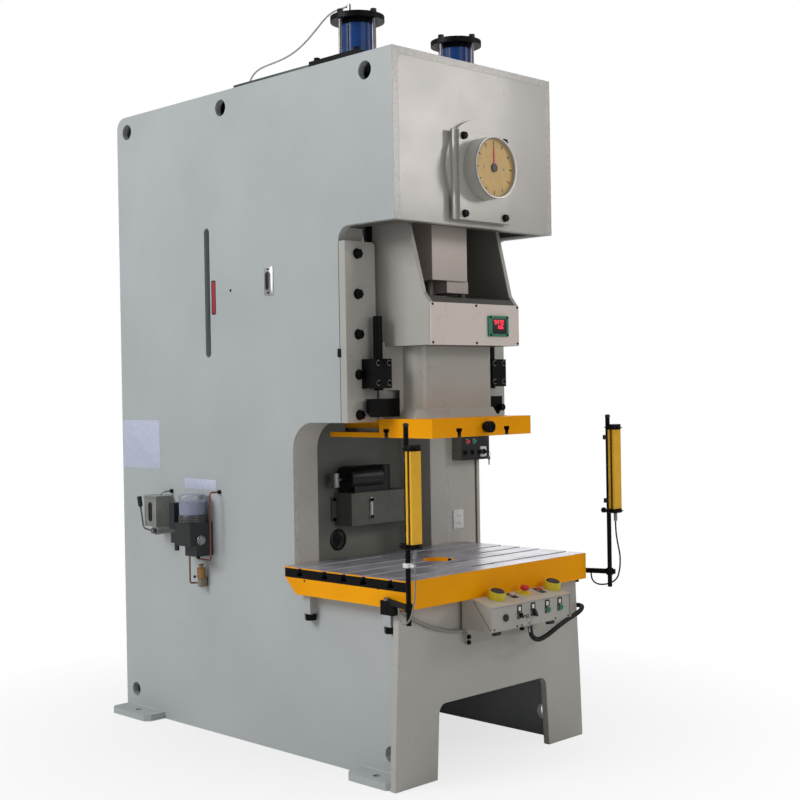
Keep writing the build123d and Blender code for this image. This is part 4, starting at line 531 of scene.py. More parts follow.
@dataclass(frozen=True)
class GroundFaced(Finish):
    """Enamelled steel with one ground face and bare slots: the bolster and the slide plate."""

    steel: str = "#9D9A94"
    face: Band = (2, 0.8345, 0.9)
    bare: tuple[Band, ...] = ()
    hole: Point | None = None
    shade: str = "#F29E00"
    stain: str = "#5A595B"
    rough: float = 0.38
    bright: float = 1.0

    def ground(self, graph: Graph) -> Socket:
        """Return 1 on the ground face and inside the bare box, and 0 elsewhere and inside the hole."""
        mask = graph.both("MAXIMUM", graph.inside(self.face), graph.inside(*self.bare))
        if self.hole:
            x, y, radius = self.hole
            flat = graph.add_node("ShaderNodeMapping", {"Location": (-x, -y, 0), "Scale": (1, 1, 0)},
                                  {"Vector": graph.place})
            reach = graph.add_node("ShaderNodeVectorMath", {"operation": "LENGTH"}, {0: flat.outputs[0]})
            beyond = graph.add_node("ShaderNodeMath", {"operation": "GREATER_THAN", 1: radius},
                                    {0: reach.outputs["Value"]})
            mask = graph.both("MULTIPLY", mask, beyond.outputs[0])
        return mask

    def feeds(self, graph: Graph) -> Feeds:
        """Return enamel and ground steel mixed by place, with grinding lines drawn 2.2 mm wide to show."""
        mask = self.ground(graph)
        lines = Grain(2.2, 3, (40, 1, 1))
        paint = graph.two_tone(Grain(300, 3), self.colour, self.shade)
        steel = graph.two_tone(Grain(150, 4), self.steel, self.stain, 0.4, 0.7)
        colour = graph.add_node("ShaderNodeMix", {"data_type": "RGBA"}, {0: mask, 6: paint, 7: steel})
        rough = graph.add_node("ShaderNodeMix", {"data_type": "FLOAT"}, {
            0: mask, 2: graph.pattern(Grain(40, 3), self.rough - 0.06, self.rough + 0.06),
            3: graph.pattern(lines, 0.22, 0.42)})
        metal = graph.add_node("ShaderNodeMapRange", {"To Max": self.bright}, {"Value": mask})
        level = graph.add_node("ShaderNodeMapRange", {"To Min": 0.12, "To Max": 0.5}, {"Value": mask})
        return {"Base Color": colour.outputs[2], "Roughness": rough.outputs[0], "Metallic": metal.outputs[0],
                "Specular IOR Level": level.outputs[0], "Normal": graph.relief(lines, 0.02, 1.5)}


@dataclass(frozen=True)
class BlackOxide(Finish):
    """Blackened and oiled steel of bolts and brackets: nearly black, with a satin sheen and rubbed edges."""

    rough: float = 0.42
    rubbed: str = "#1E1E20"

    def feeds(self, graph: Graph) -> Feeds:
        """Return a dark metal whose grain is 3 mm, with small rubbed patches."""
        grain = Grain(3, 3)
        return {"Base Color": graph.two_tone(grain, self.colour, self.rubbed, 0.5, 0.8),
                "Roughness": graph.pattern(grain, self.rough - 0.08, self.rough + 0.14),
                "Normal": graph.relief(grain, 0.04, 0.8), "Metallic": 0.55, "Specular IOR Level": 0.25}


@dataclass(frozen=True)
class Moulded(Finish):
    """Injection-moulded plastic with a fine spark-eroded texture."""

    rough: float = 0.38
    grain_mm: float = 1.2
    glow: float = 0.0

    def feeds(self, graph: Graph) -> Feeds:
        """Return an even colour with a faint mottle, and a texture about 1 mm wide."""
        grain = Grain(self.grain_mm)
        feeds = {"Base Color": graph.mottled(Grain(25), self.colour, 0.93, 1.05),
                 "Roughness": graph.pattern(grain, self.rough - 0.05, self.rough + 0.07),
                 "Normal": graph.relief(grain, 0.02), "IOR": 1.49}
        if self.glow:
            feeds |= {"Emission Color": srgb(self.colour), "Emission Strength": self.glow}
        return feeds


@dataclass(frozen=True)
class BrightMetal(Finish):
    """Chromed or brushed metal with fine drawing lines."""

    rough: float = 0.14
    line: Point = (1, 1, 30)

    def feeds(self, graph: Graph) -> Feeds:
        """Return a bright metal whose lines are 0.8 mm wide."""
        lines = Grain(0.8, 2, self.line)
        return {"Base Color": graph.mottled(lines, self.colour, 0.85, 1.2),
                "Roughness": graph.pattern(lines, self.rough - 0.03, self.rough + 0.1), "Metallic": 1.0}


@dataclass(frozen=True)
class ClearPlastic(Finish):
    """Clear moulded plastic with a faint tint, as the oil reservoir has."""

    rough: float = 0.08

    def feeds(self, graph: Graph) -> Feeds:
        """Return a see-through plastic whose walls are slightly uneven over 30 mm."""
        wave = Grain(30)
        return {"Base Color": srgb(self.colour), "Transmission Weight": 0.75, "IOR": 1.45,
                "Roughness": graph.pattern(wave, self.rough, self.rough + 0.1),
                "Normal": graph.relief(wave, 0.3)}


@dataclass(frozen=True)
class Rubber(Finish):
    """Extruded rubber or soft vinyl sheath: dull, with a faint grain along it."""

    rough: float = 0.55
    shade: str = "#2C2B2A"

    def feeds(self, graph: Graph) -> Feeds:
        """Return a dull sheath with grain 2 mm wide."""
        grain = Grain(2.0, 3)
        return {"Base Color": graph.two_tone(Grain(40), self.colour, self.shade),
                "Roughness": graph.pattern(grain, self.rough - 0.08, self.rough + 0.1),
                "Normal": graph.relief(grain, 0.03), "Specular IOR Level": 0.3}


# Sprayed enamels: even and satin. The throat columns, the cabinet and the throat edges carry painted light; the
# throat wall, head plates, slide box and overload tank carry painted shade.
THROAT_EDGE_LIGHT = ((1, -0.62, -0.296), (2, 0.72, 1.4505))
# The first two patches paint light on the side plates' throat edges, in the columns' lit tone.
GREY = Enamel("machine_enamel_grey", "#B5BABC", shade="#ACB2B3",
              patches=(Patch(((0, -0.4997, -0.468), *THROAT_EDGE_LIGHT), "#C6C3BB", 0.36),
                       Patch(((0, 0.468, 0.4997), *THROAT_EDGE_LIGHT), "#C6C3BB", 0.36),
                       Patch(((0, -0.4995, 0.4995), (1, -0.96, -0.945), (2, 2.255, 2.9645)), "#B9B7B1", 0.3)))
# Painted shade: dark grey for the head plates, seen in shade between the slide's cheeks; the reservoir hoops use it
# as their own dark grey.
DARK_GREY_AND_SHADE = Enamel("dark_grey_and_painted_shade", "#5E5D59", shade="#55544F", rough=0.5, coat=0.0)
# Painted shade: a darker copy of the enamel for the inner faces of the slide's cheeks.
SLIDE_BOX_SHADE = Enamel("slide_box_painted_shade", "#8C8A84", shade="#82807A", rough=0.5, coat=0.0)
# Painted shade: a darker copy of the frame enamel for the throat's back wall, where little light reaches.
SHADED_WALL = Enamel("throat_wall_painted_shade", "#8F9188", shade="#868880", rough=0.4)
# Painted light: a lighter copy of the frame enamel for the throat columns, the cabinet and its door, which face the
# lamps.
LIT_COLUMN = Enamel("throat_column_painted_light", "#CAC7BF", shade="#C0BDB5", rough=0.36)
FRONT = Enamel("machine_enamel_front", "#B9B7B1", shade="#AFADA6", rough=0.3, coat=0.3)
# The slide body's patch between the cheeks is painted shade inside the slide's box.
SLIDE_BODY = Enamel("slide_body_enamel_box_shade", "#B9B7B1", shade="#AFADA6", rough=0.3, coat=0.3,
                    patches=(Patch(((0, -0.2625, 0.2625), (1, -0.93, -0.6), (2, 1.768, 2.36)), "#55534E"),))
# Painted highlight: lighter, pinkish copies of the slide's enamel on the cover and the connecting rod, where a
# reflection lies on them.
COVER_HIGHLIGHT = Enamel("slide_cover_painted_highlight", "#EADFD6", shade="#E0D4CB", rough=0.3, coat=0.3)
ROD_HIGHLIGHT = Enamel("connecting_rod_painted_highlight", "#D8CCC3", shade="#CEC2B9", rough=0.3, coat=0.3)
BLUE = Enamel("cylinder_enamel_blue", "#0D4690", shade="#0B3C7C", rough=0.3, coat=0.2, drift_mm=90, level=0.3)
# The curtains' amber bodies, black on their window side and bare aluminium at the lower ends
YELLOW = Enamel("curtain_enamel_yellow", "#F6BE2C", shade="#ECB325", rough=0.3, drift_mm=60, edge_mm=1.2,
                patches=(Patch(((1, -1.154, -0.9),), "#19191B"),
                         Patch(((0, -0.8, -0.5), (2, 0.8, 0.9955)), "#8C8E90", 0.3),
                         Patch(((0, 0.5, 0.8), (2, 0.8, 1.0345)), "#8C8E90", 0.3)))
PANEL = Enamel("panel_enamel_warm", "#B3B1A9", shade="#A9A79F", rough=0.3, coat=0.25, drift_mm=200, edge_mm=1.5)
PUMP = Enamel("pump_enamel_grey", "#8F918C", shade="#7C7E79", rough=0.4, drift_mm=60, edge_mm=1.5)
DARK_ENAMEL = Enamel("motor_enamel_dark", "#3A4143", shade="#343A3C", rough=0.4, drift_mm=100)
PUMP_BLACK = Enamel("lubricator_enamel_black", "#26292A", shade="#202224", rough=0.38, drift_mm=60, edge_mm=1.5)
# The patch on the lamp box's left face is painted light: that face is drawn grey where it is lit.
BOX_BLACK = Enamel("lamp_box_black_lit_left_face", "#262628", shade="#222224", rough=0.35, drift_mm=60, edge_mm=1.2,
                   patches=(Patch(((0, 0.514, 0.516),), "#74726A", 0.4),))
# The overload unit: grey tank darkened by painted shade, black pump above it, and a bare metal cap at its left end
OVERLOAD_SHADED = Enamel("overload_unit_painted_shade", "#6F7068", shade="#62635B", rough=0.45, drift_mm=60, edge_mm=1.5,
                   patches=(Patch(((2, 1.1095, 1.4),), "#0D0D0E", 0.45),
                            Patch(((0, -0.3, -0.105), (2, 1.135, 1.4)), "#A9ABAD", 0.25, 1.0)))

# Amber enamel with ground steel: lines catch the light on top; the slots are filled with painted shade, and their
# lips carry a painted highlight. The painted shade passes the end faces, which are at 0.57, by 0.5 mm and so darkens
# a band on both of them.
SLOTS_INNER, SLOTS_PLACE = 0.071, (1, -1.057, -0.314)
SLOTS_SHADE = (0.5705, (2, 0.79, 0.829), "#0E0E10", 0.6)
SLOTS_HIGHLIGHT = (0.5695, (2, 0.829, 0.8344), "#D6D6DC", 0.35)
BOLSTER = GroundFaced("bolster_amber_enamel", "#FFAC00", steel="#B6B4BE", stain="#8A8892", bright=0.45,
                      face=(2, 0.8345, 0.9), hole=(0.0, -0.685, 0.0705),
                      bare=((0, -0.5695, 0.5695), (1, -1.0575, -0.3135), (2, 0.7205, 0.9)),
                      patches=tuple(Patch((half, SLOTS_PLACE, level), colour, rough)
                                    for reach, level, colour, rough in (SLOTS_SHADE, SLOTS_HIGHLIGHT)
                                    for half in ((0, -reach, -SLOTS_INNER), (0, SLOTS_INNER, reach))))
SLIDE_PLATE = GroundFaced("slide_plate_amber_enamel", "#FFAC00", face=(2, 1.3, 1.3825),
                          bare=((0, -0.3145, 0.3145), (1, -0.9595, -0.3365), (2, 1.3, 1.4205)))

# Bare and blackened metals: lines along the machining, a film of oil, chrome where parts slide
# The adjusting screw's steel is drawn darker than the other steel.
SCREW_STEEL = GroundSteel("dark_screw_steel", "#5C5A57", line=(1, 1, 40), rough=0.4)
UPRIGHT_STEEL = GroundSteel("ground_steel_upright", "#8E8B85", line=(1, 1, 40))
IRON = GroundSteel("machined_grey_iron", "#6F6E6B", line=(1, 30, 1), rough=0.45)
BLACK = BlackOxide("black_oxide_steel", "#0B0B0C")
FLANGES = BlackOxide("flange_black_oxide", "#0B0B0C", patches=(Patch(((2, 3.19, 3.3),), "#B4B6B8", 0.25, 1.0),))
CHROME = BrightMetal("hard_chrome", "#A9ABAD")
TIE_STEEL = BrightMetal("tie_rod_steel", "#77777A", rough=0.32,
                        patches=(Patch(((2, 3.1875, 3.3),), "#19191B", 0.4, 0.4),))
ALUMINIUM = BrightMetal("brushed_aluminium", "#9B9D9E", rough=0.3, line=(30, 1, 1))
DIAL_RIM = BrightMetal("dial_rim_satin", "#B0B0AC", rough=0.38, line=(1, 1, 1))
LEVER = BrightMetal("pump_lever_steel", "#77777A", rough=0.32, line=(1, 1, 1),
                    patches=(Patch(((2, 1.036, 1.1),), "#0E0E0F", 0.45),))
THIN_PIPE = BrightMetal("thin_steel_pipe", "#77777A", rough=0.32, line=(1, 1, 1))
BRASS = BrightMetal("plain_brass", "#A5804F", rough=0.3)
VALVE_BLOCK = ((0, -0.6, -0.5085), (1, 0.3275, 0.3565), (2, 0.67, 0.7225))
COPPER = BrightMetal("copper_pipe", "#8E5B4E", rough=0.32, line=(1, 1, 1),
                     patches=(Patch(VALVE_BLOCK, "#8D8576", 0.4, 0.5),))

# Moulded plastics: even colours, a soft sheen on caps and rings, duller on housings, lit where they are lenses
DARK_PLASTIC = Moulded("moulded_nylon_black", "#1B1B1D", rough=0.45)
GREEN_PLASTIC = Moulded("moulded_cap_green", "#1F7A5C", rough=0.28)
RED_PLASTIC = Moulded("moulded_cap_red", "#C01F2B", rough=0.28)
YELLOW_PLASTIC = Moulded("moulded_ring_yellow", "#DCC52A", rough=0.33)
PURPLE_BLACK = Moulded("moulded_palm_cap_dark", "#221F2A", rough=0.5)
WHITE_PLASTIC = Moulded("moulded_abs_white", "#E9E9E6", rough=0.35)
CREAM = Moulded("dial_face_cream", "#D8B470", rough=0.45)
POINTER = Moulded("dial_pointer_red", "#C8222E", rough=0.35,
                  patches=(Patch(((0, -0.02, 0.02), (2, 2.491, 2.531)), "#19191B", 0.4),))
PAPER = Moulded("laminated_sheet", "#BDC3D6", rough=0.4, grain_mm=3.0)
RED_TAPE = Moulded("red_marking_strip", "#B02A33", rough=0.4)
LAMP_RED = Moulded("lamp_lens_red", "#CC2C3A", rough=0.2, glow=0.3)
LAMP_GREEN = Moulded("lamp_lens_green", "#2E8E70", rough=0.2, glow=0.15)
DIGIT_RED = Moulded("display_segment_red", "#FF2844", rough=0.3, glow=1.4)
DISPLAY_GREEN = Moulded("display_frame_green", "#2F8467", rough=0.35)
OIL = Moulded("oil_seen_through", "#6F7AA8", rough=0.3)
NYLON = Moulded("air_tube_nylon", "#B9B9B6", rough=0.35)
CONDUIT = Moulded("conduit_grey", "#8F8E8A", rough=0.5)
SEAM = Moulded("seam_shadow", "#4B4C4C", rough=0.6)
CLEAR = ClearPlastic("clear_reservoir_plastic", "#D8DCE2")
SHEATH = Rubber("cable_sheath_black", "#131314", shade="#1C1B1B", rough=0.42)
GREY_SHEATH = Rubber("cable_sheath_grey", "#8E8E8C", shade="#848482")


# Making pieces


def dress(finish: Finish, *names: str) -> None:
    """Give CAD nodes their finish.

    Args:
        finish: The finish.
        names: Names of the nodes.
    """
    for name in names:
        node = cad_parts[name]
        if not node.material_slots:
            node.data.materials.append(finish.material())
        for slot in node.material_slots:
            slot.material = finish.material()
        LOG.info("node %s: %s", name, finish.name)


def make(name: str, solid: Solid, finish: Finish, where: list[Seat] | None = None, body: str = "frame",
         sharp: float = 35.0) -> bpy.types.Object:
    """Make one piece from a surface, dress it and let it ride on a body.

    Args:
        name: Name of the piece.
        solid: Its surface, in metres, or in millimetres on its seats.
        finish: Its finish.
        where: Seats that each take a copy of the surface, if it isn't in metres yet.
        body: Body that carries it.
        sharp: Angle in degrees above which an edge stays sharp.

    Returns:
        The new object.
    """
    if where:
        solid = joined(Solid(seat.map(solid.points), solid.faces) for seat in where)
    mesh = bpy.data.meshes.new(name)
    mesh.from_pydata(solid.points.tolist(), [], solid.faces)
    mesh.polygons.foreach_set("use_smooth", np.ones(len(mesh.polygons), bool))
    mesh.set_sharp_from_angle(angle=math.radians(sharp))
    mesh.materials.append(finish.material())
    piece = bpy.data.objects.new(name, mesh)
    bpy.context.scene.collection.objects.link(piece)
    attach(piece, body)
    LOG.info("piece %s: %d faces on %s", name, len(mesh.polygons), body)
    return piece


# The press's sub-assemblies


@dataclass
class Frame:
    """The welded C-frame: its enamel, weld beads, fastenings and what is stuck or screwed to its left side."""

    half_width: float = 500.0
    pads: tuple[tuple[float, float], ...] = ((-317.0, -66.0), (1354.0, 1654.0))
    pad_bead_z: float = 31.0
    lug_places: tuple[float, float] = (-257.0, 230.0)
    lug_heights: tuple[float, float] = (640.0, 714.0)
    lug_half: float = 22.0
    lug_bolt: tuple[float, float] = (520.0, 635.0)
    gib_bolt_x: float = 431.0
    gib_bolts: tuple[float, ...] = (1482.0, 1651.0, 1820.0, 1989.0, 2158.0)
    gib_inner: float = 328.0
    gib_heights: tuple[float, float] = (1450.0, 2210.0)
    gib_places: tuple[float, float] = (-4.0, 36.0)
    gib_cut: float = 45.0
    gib_edge: float = 12.0
    stop_places: Spread = ((-337, -400, 337, 400), -89, (1615, 1698))
    dial_bolts: Spread = ((-128, 128), -342, (2315, 2640))
    balancer_bolts: Spread = ((-437, -187, 187, 437), (-30, 220), 3000)
    notice: Rect = (1507.5, 1336.5, 317.0, 237.0)
    label: Rect = (1027.0, 1156.0, 244.0, 48.0)
    strip: Rect = (895.5, 2025.5, 29.0, 157.0)
    sight: Rect = (492.5, 2074.5, 58.0, 125.0)
    sight_screw: float = 52.0
    sight_plug: Point = (-500, 768, 2050)
    edge_tab: Point = (-500, 38.5, 1743)
    roof_cover: Point = (-420, 470, 2965)

    def build(self) -> None:
        """Dress the plates and add the small pieces."""
        dress(GREY, "side_plate_left", "side_plate_right", "head_roof", "rear_plate")
        dress(SHADED_WALL, "back_wall")
        dress(LIT_COLUMN, "throat_columns")
        dress(DARK_GREY_AND_SHADE, "head_plates")
        dress(FRONT, "head_front", "gibs", "bed_front")
        dress(BLACK, "knockout_stops")
        self.beads()
        self.bolts()
        self.left_side()
        self.gib_corners()
        self.stop_screws()

    def beads(self) -> None:
        """Lay weld beads where the pads and lugs meet the side plates."""
        beads = []
        for x in (-self.half_width, self.half_width):
            beads += [weld_bead(at(x, start, self.pad_bead_z), at(x, end, self.pad_bead_z), 5.5)
                      for start, end in self.pads]
            beads += [weld_bead(*(at(x, place + edge, z) for z in self.lug_heights), 4.0)
                      for place in self.lug_places for edge in (-self.lug_half, self.lug_half)]
        make("weld_beads", joined(beads), GREY, sharp=80)

    def bolts(self) -> None:
        """Replace the plain bolt heads with washers and chamfered heads of the same sizes."""
        x, z = self.lug_bolt
        front = self.gib_places[0]
        make("gib_bolts", bolt_head(36, 18), BLACK,
             seats(Side.FRONT, ((-self.gib_bolt_x, self.gib_bolt_x), front, self.gib_bolts)))
        lugs = make("lug_bolts", bolt_head(44, 28), BLACK, seats(Side.UNDER, ((-x, x), self.lug_places, z)))
        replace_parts(lugs, "frame_bolts")
        make("dial_bolts", bolt_head(27, 14), BLACK, seats(Side.FRONT, self.dial_bolts))
        make("balancer_base_bolts", bolt_head(24, 16), BLACK, seats(Side.TOP, self.balancer_bolts))

    def left_side(self) -> None:
        """Add the blank notice and label, the marking strip, the oil sight, plugs and the roof's cover plate."""
        for name, (place, z, width, height), corner, deep in (("notice_sheet", self.notice, 4, 0.8),
                                                              ("label_sheet", self.label, 2, 0.6)):
            make(name, slab(rounded(width, height, corner), deep, 0.2), PAPER,
                 seats(Side.LEFT, (-self.half_width, place, z)))
        place, z, width, height = self.strip
        seat = seats(Side.LEFT, (-self.half_width, place, z))
        make("marking_strip", slab(rounded(width - 6, height - 10, 2), 1.4, 0.3), RED_TAPE, seat)
        border = rim(rounded(width, height, 3), rounded(width - 8, height - 12, 2), 2.4)
        make("marking_strip_frame", border, DARK_PLASTIC, seat)
        place, z, width, height = self.sight
        seat = seats(Side.LEFT, (-self.half_width, place, z))
        make("oil_sight_plate", slab(rounded(width, height, 5), 5, 1), ALUMINIUM, seat)
        window = rim(rounded(30, 86, 14), rounded(20, 76, 9), 13, 1.5, base=4.5)
        make("oil_sight_frame", window, CHROME, seat)
        make("oil_sight_glass", slab(rounded(21, 77, 9), 9, 1, base=4.5), DARK_PLASTIC, seat)
        screws = joined(socket_screw(4.5, 4).moved(up=up, out=5) for up in (self.sight_screw, -self.sight_screw))
        make("oil_sight_screws", screws, BLACK, seat)
        make("sight_plug", turned([(6, 0), (6, 1.5), (4, 2.2)]), BLACK, seats(Side.LEFT, self.sight_plug))
        make("edge_tab", slab(rounded(17, 35, 2), 5, 1), BLACK, seats(Side.LEFT, self.edge_tab))
        make("roof_cover_plate", slab(rounded(150, 522, 6), 12, 1.5), DARK_ENAMEL, seats(Side.TOP, self.roof_cover))

    def gib_corners(self) -> None:
        """Fill each gib's upper inner corner, whose true edge break is 12 mm, and mark the joint behind the gib."""
        inner, (bottom, top) = self.gib_inner, self.gib_heights
        outline = ((inner, top - self.gib_cut), (inner + self.gib_cut, top), (inner + self.gib_edge, top),
                   (inner, top - self.gib_edge))
        rings = [np.array([[at(side * x, place, z) for x, z in outline] for place in self.gib_places])
                 for side in (-1, 1)]
        make("gib_corners", joined(loft(ring).outward() for ring in rings), FRONT, sharp=20)
        seam = slab(rounded(3.0, top - bottom - 4, 1, 2), 0.5, 0.1)
        rear, middle = self.gib_places[1], (top + bottom) / 2
        make("gib_joint_lines", seam, SEAM, seats(Side.LEFT, (-self.half_width, rear, middle))
             + seats(Side.RIGHT, (self.half_width, rear, middle)))

    def stop_screws(self) -> None:
        """Screw the stop blocks down: four socket screws each, sunk in bright counterbores."""
        stops = seats(Side.FRONT, self.stop_places)
        make("stop_block_screws", socket_screw(9, 6), BLACK, stops)
        ring = turned([(9.2, 0), (12.4, 0), (12.4, 1.6), (11.6, 2.2), (9.2, 2.2)], closed=True)
        make("stop_block_rings", ring, CHROME, stops)


@dataclass
class Dial:
    """The angle dial: its enamelled drum, cream face, ticks, red pointer and satin lip."""

    centre: Point = (0, -395.0, 2511.0)
    face_radius: float = 120.5
    hub_radius: float = 19.0
    tick: tuple[float, float] = (17.0, 4.2)
    tick_end: float = 113.0
    tick_count: int = 12
    screw_reach: float = 62.0
    lip: tuple[tuple[float, float], ...] = ((121.2, 0.5), (121.2, 15.0), (123.0, 16.2), (129.0, 16.2),
                                            (130.6, 14.6), (130.6, 8.0))

    def build(self) -> None:
        """Dress the drum and the pointer, lay the face with its ticks and screws, and close it with the lip."""
        dress(FRONT, "dial_case")
        dress(POINTER, "dial_pointer")
        seat = seats(Side.FRONT, self.centre)
        make("dial_face", rim(circle(self.face_radius, 96), circle(self.hub_radius, 96), 0.8, 0.1), CREAM, seat)
        length, width = self.tick
        bar = slab(rounded(length, width, 0.5, 2), 0.5, 0.1).moved(right=self.tick_end - length / 2, out=0.7)
        turns = [Matrix.Rotation(2 * math.pi * step / self.tick_count, 3, "Z") for step in range(self.tick_count)]
        ticks = joined(Solid(bar.points @ np.array(turn).T, bar.faces) for turn in turns)
        make("dial_ticks", ticks, DARK_PLASTIC, seat)
        screw = turned([(4, 0.8), (4, 2.6), (2.6, 3.4)], 20)
        make("dial_screws", screw.moved(right=self.screw_reach) + screw.moved(right=-self.screw_reach), CHROME, seat)
        make("dial_lip", turned(self.lip, 96, closed=True), DIAL_RIM, seat)


@dataclass
class Slide:
    """The slide with its cover, display and painted shade in its box, and the fittings of its plate and knock-out
    bar.
    """

    cover_place: float = -282.0
    cover_screws: Spread = ((-270, 0, 270), -282, (1779, 1938))
    roller: Point = (394, -64, 1497)
    clamp_knob: Point = (12, -312, 1421)
    cheek: tuple[float, float, float, float] = (263.0, 20.0, 256.0, 292.0)
    shade_outline: tuple[tuple[float, float], ...] = ((34, 1771), (-255, 1771), (-255, 1971), (-241, 1988), (-172, 2254),
                                               (-149, 2348), (34, 2348))
    shade_gaps: tuple[float, float] = (0.2, 1.2)
    display: Rect = (137.0, 1853.0, 131.0, 89.0)
    rows: tuple[tuple[str, float, float, float], ...] = (("547.0", 19.0, 3.0, 17.0), ("60.5", 15.0, 14.0, -4.0))

    SEGMENTS = {"0": "abcdef", "4": "fgbc", "5": "afgcd", "6": "afgcde", "7": "abc"}

    def build(self) -> None:
        """Dress the slide's nodes and add the display, the painted shade in the box, screws and the knock-out bar's
        fittings.
        """
        dress(SLIDE_BODY, "slide_body")
        dress(COVER_HIGHLIGHT, "slide_cover")
        dress(ROD_HIGHLIGHT, "connecting_rod")
        dress(SLIDE_PLATE, "slide_plate")
        dress(BLACK, "knockout_bar")
        dress(SCREW_STEEL, "adjusting_screw")
        self.show_display()
        self.shade_box()
        make("cover_screws", socket_screw(5, 4), BLACK, seats(Side.FRONT, self.cover_screws), body="slide")
        roller = turned([(10, 0), (10, 3), (15, 4), (16, 6), (16, 22), (14, 25), (6, 25.4)], 36)
        make("knockout_roller", roller, BLACK, seats(Side.FRONT, self.roller), body="knockout")
        knob = turned([(20, 0), (20, 8), (24, 10), (25, 13), (25, 36), (22, 40), (10, 40), (9, 37)], 40)
        make("shank_clamp_knob", knob, BLACK, seats(Side.FRONT, self.clamp_knob), body="slide")

    def shade_box(self) -> None:
        """Cover the inner faces of the slide's two cheeks with sheets of painted shade.

        The faces spread to the back: x = width + spread (place + start) / length, in millimetres.
        """
        place, z = np.array(self.shade_outline).T
        width, spread, start, length = self.cheek
        reach = width + spread * (place + start) / length
        sheets = [loft(np.stack([np.stack([side * (reach - gap), SLIDE_Y + place, z], axis=-1) / 1000
                                 for gap in self.shade_gaps])).outward() for side in (-1, 1)]
        make("slide_box_shade_sheets", joined(sheets), SLIDE_BOX_SHADE, body="slide")

    def show_display(self) -> None:
        """Build the display's green frame, dark screen, corner screws and two red seven-segment rows."""
        x, z, width, height = self.display
        seat = seats(Side.FRONT, (x, self.cover_place, z))
        window = rounded(width - 37, height - 22, 3) + np.array([5.0, 0.0])
        bezel = rim(rounded(width + 0.8, height + 0.8, 5), window, 8.6, 1.2)
        make("display_frame", bezel, DISPLAY_GREEN, seat, body="slide")
        screen = slab(rounded(width - 36, height - 21, 3), 6.4, 0.4, base=2).moved(right=5)
        make("display_screen", screen, DARK_PLASTIC, seat, body="slide")
        screw = turned([(5, 8), (5, 10.4), (4, 11)], 20)
        corners = joined(screw.moved(right, up) for right in (-53, 56) for up in (-38, 38))
        make("display_screws", corners, BLACK, seat, body="slide")
        digits = joined(segment for row in self.rows for segment in self.digits(*row))
        make("display_digits", digits, DIGIT_RED, seat, body="slide")

    def digits(self, text: str, tall: float, right: float, up: float) -> list[Solid]:
        """Return the lit segments of one row of digits.

        Args:
            text: Digits and points of the reading.
            tall: Height of a digit.
            right: Middle of the row, to the right of the display's middle.
            up: Middle of the row, above the display's middle.

        Returns:
            One slab for each lit segment or point.
        """
        wide, bar, pitch = 0.52 * tall, 0.15 * tall, 0.8 * tall
        half = tall / 2 - bar / 2
        places = {"a": (0, half, wide, bar), "d": (0, -half, wide, bar), "g": (0, 0, wide, bar),
                  "f": (-wide / 2, half / 2, bar, half), "b": (wide / 2, half / 2, bar, half),
                  "e": (-wide / 2, -half / 2, bar, half), "c": (wide / 2, -half / 2, bar, half)}
        cursor = right - pitch * (len(text.replace(".", "")) - 1) / 2
        lit = []
        for mark in text:
            if mark == ".":
                lit.append(slab(rounded(bar, bar, 0.4, 2), 7.0, 0.2, base=6).moved(cursor - pitch / 2, up - half))
                continue
            for dx, dz, width, height in map(places.get, self.SEGMENTS[mark]):
                lit.append(slab(rounded(width, height, 0.5, 2), 7.0, 0.2, base=6).moved(cursor + dx, up + dz))
            cursor += pitch
        return lit


@dataclass
class Drive:
    """What turns inside the head: crankshaft, pinion shaft, flywheel and motor."""

    def build(self) -> None:
        """Dress the drive's nodes."""
        dress(UPRIGHT_STEEL, "crankshaft", "pinion_shaft")
        dress(IRON, "flywheel", "motor_pulley")
        dress(DARK_ENAMEL, "motor")


@dataclass
class Balancers:
    """The two pneumatic balance cylinders on the roof."""

    centres: tuple[tuple[str, float, float], ...] = (("left", -312.0, 95.0), ("right", 312.0, 95.0))
    base_z: float = 3000.0
    cap_z: float = 3165.0
    plug_z: float = 3188.0
    tube_radius: float = 69.0

    def build(self) -> None:
        """Dress the cylinders and add the seal rings at the two ends of each tube and the plug in each cap."""
        dress(BLUE, "balancer_tubes")
        dress(FLANGES, "balancer_flanges")
        dress(TIE_STEEL, "balancer_tie_rods")
        dress(CHROME, "balancer_rods")
        r = self.tube_radius
        collar = turned([(r, 0), (r + 9, 0), (r + 9, 10), (r + 5, 14), (r, 14)], 64, closed=True)
        plug = slab(hexagon(27), 12, 1.5) + turned([(16, 0), (16, 3), (14, 4)])
        for name, x, place in self.centres:
            make(f"balancer_foot_ring_{name}", collar, BLACK, seats(Side.TOP, (x, place, self.base_z)))
            make(f"balancer_head_ring_{name}", collar, BLACK, seats(Side.UNDER, (x, place, self.cap_z)))
            make(f"balancer_plug_{name}", plug, BRASS, seats(Side.TOP, (x, place, self.plug_z)))


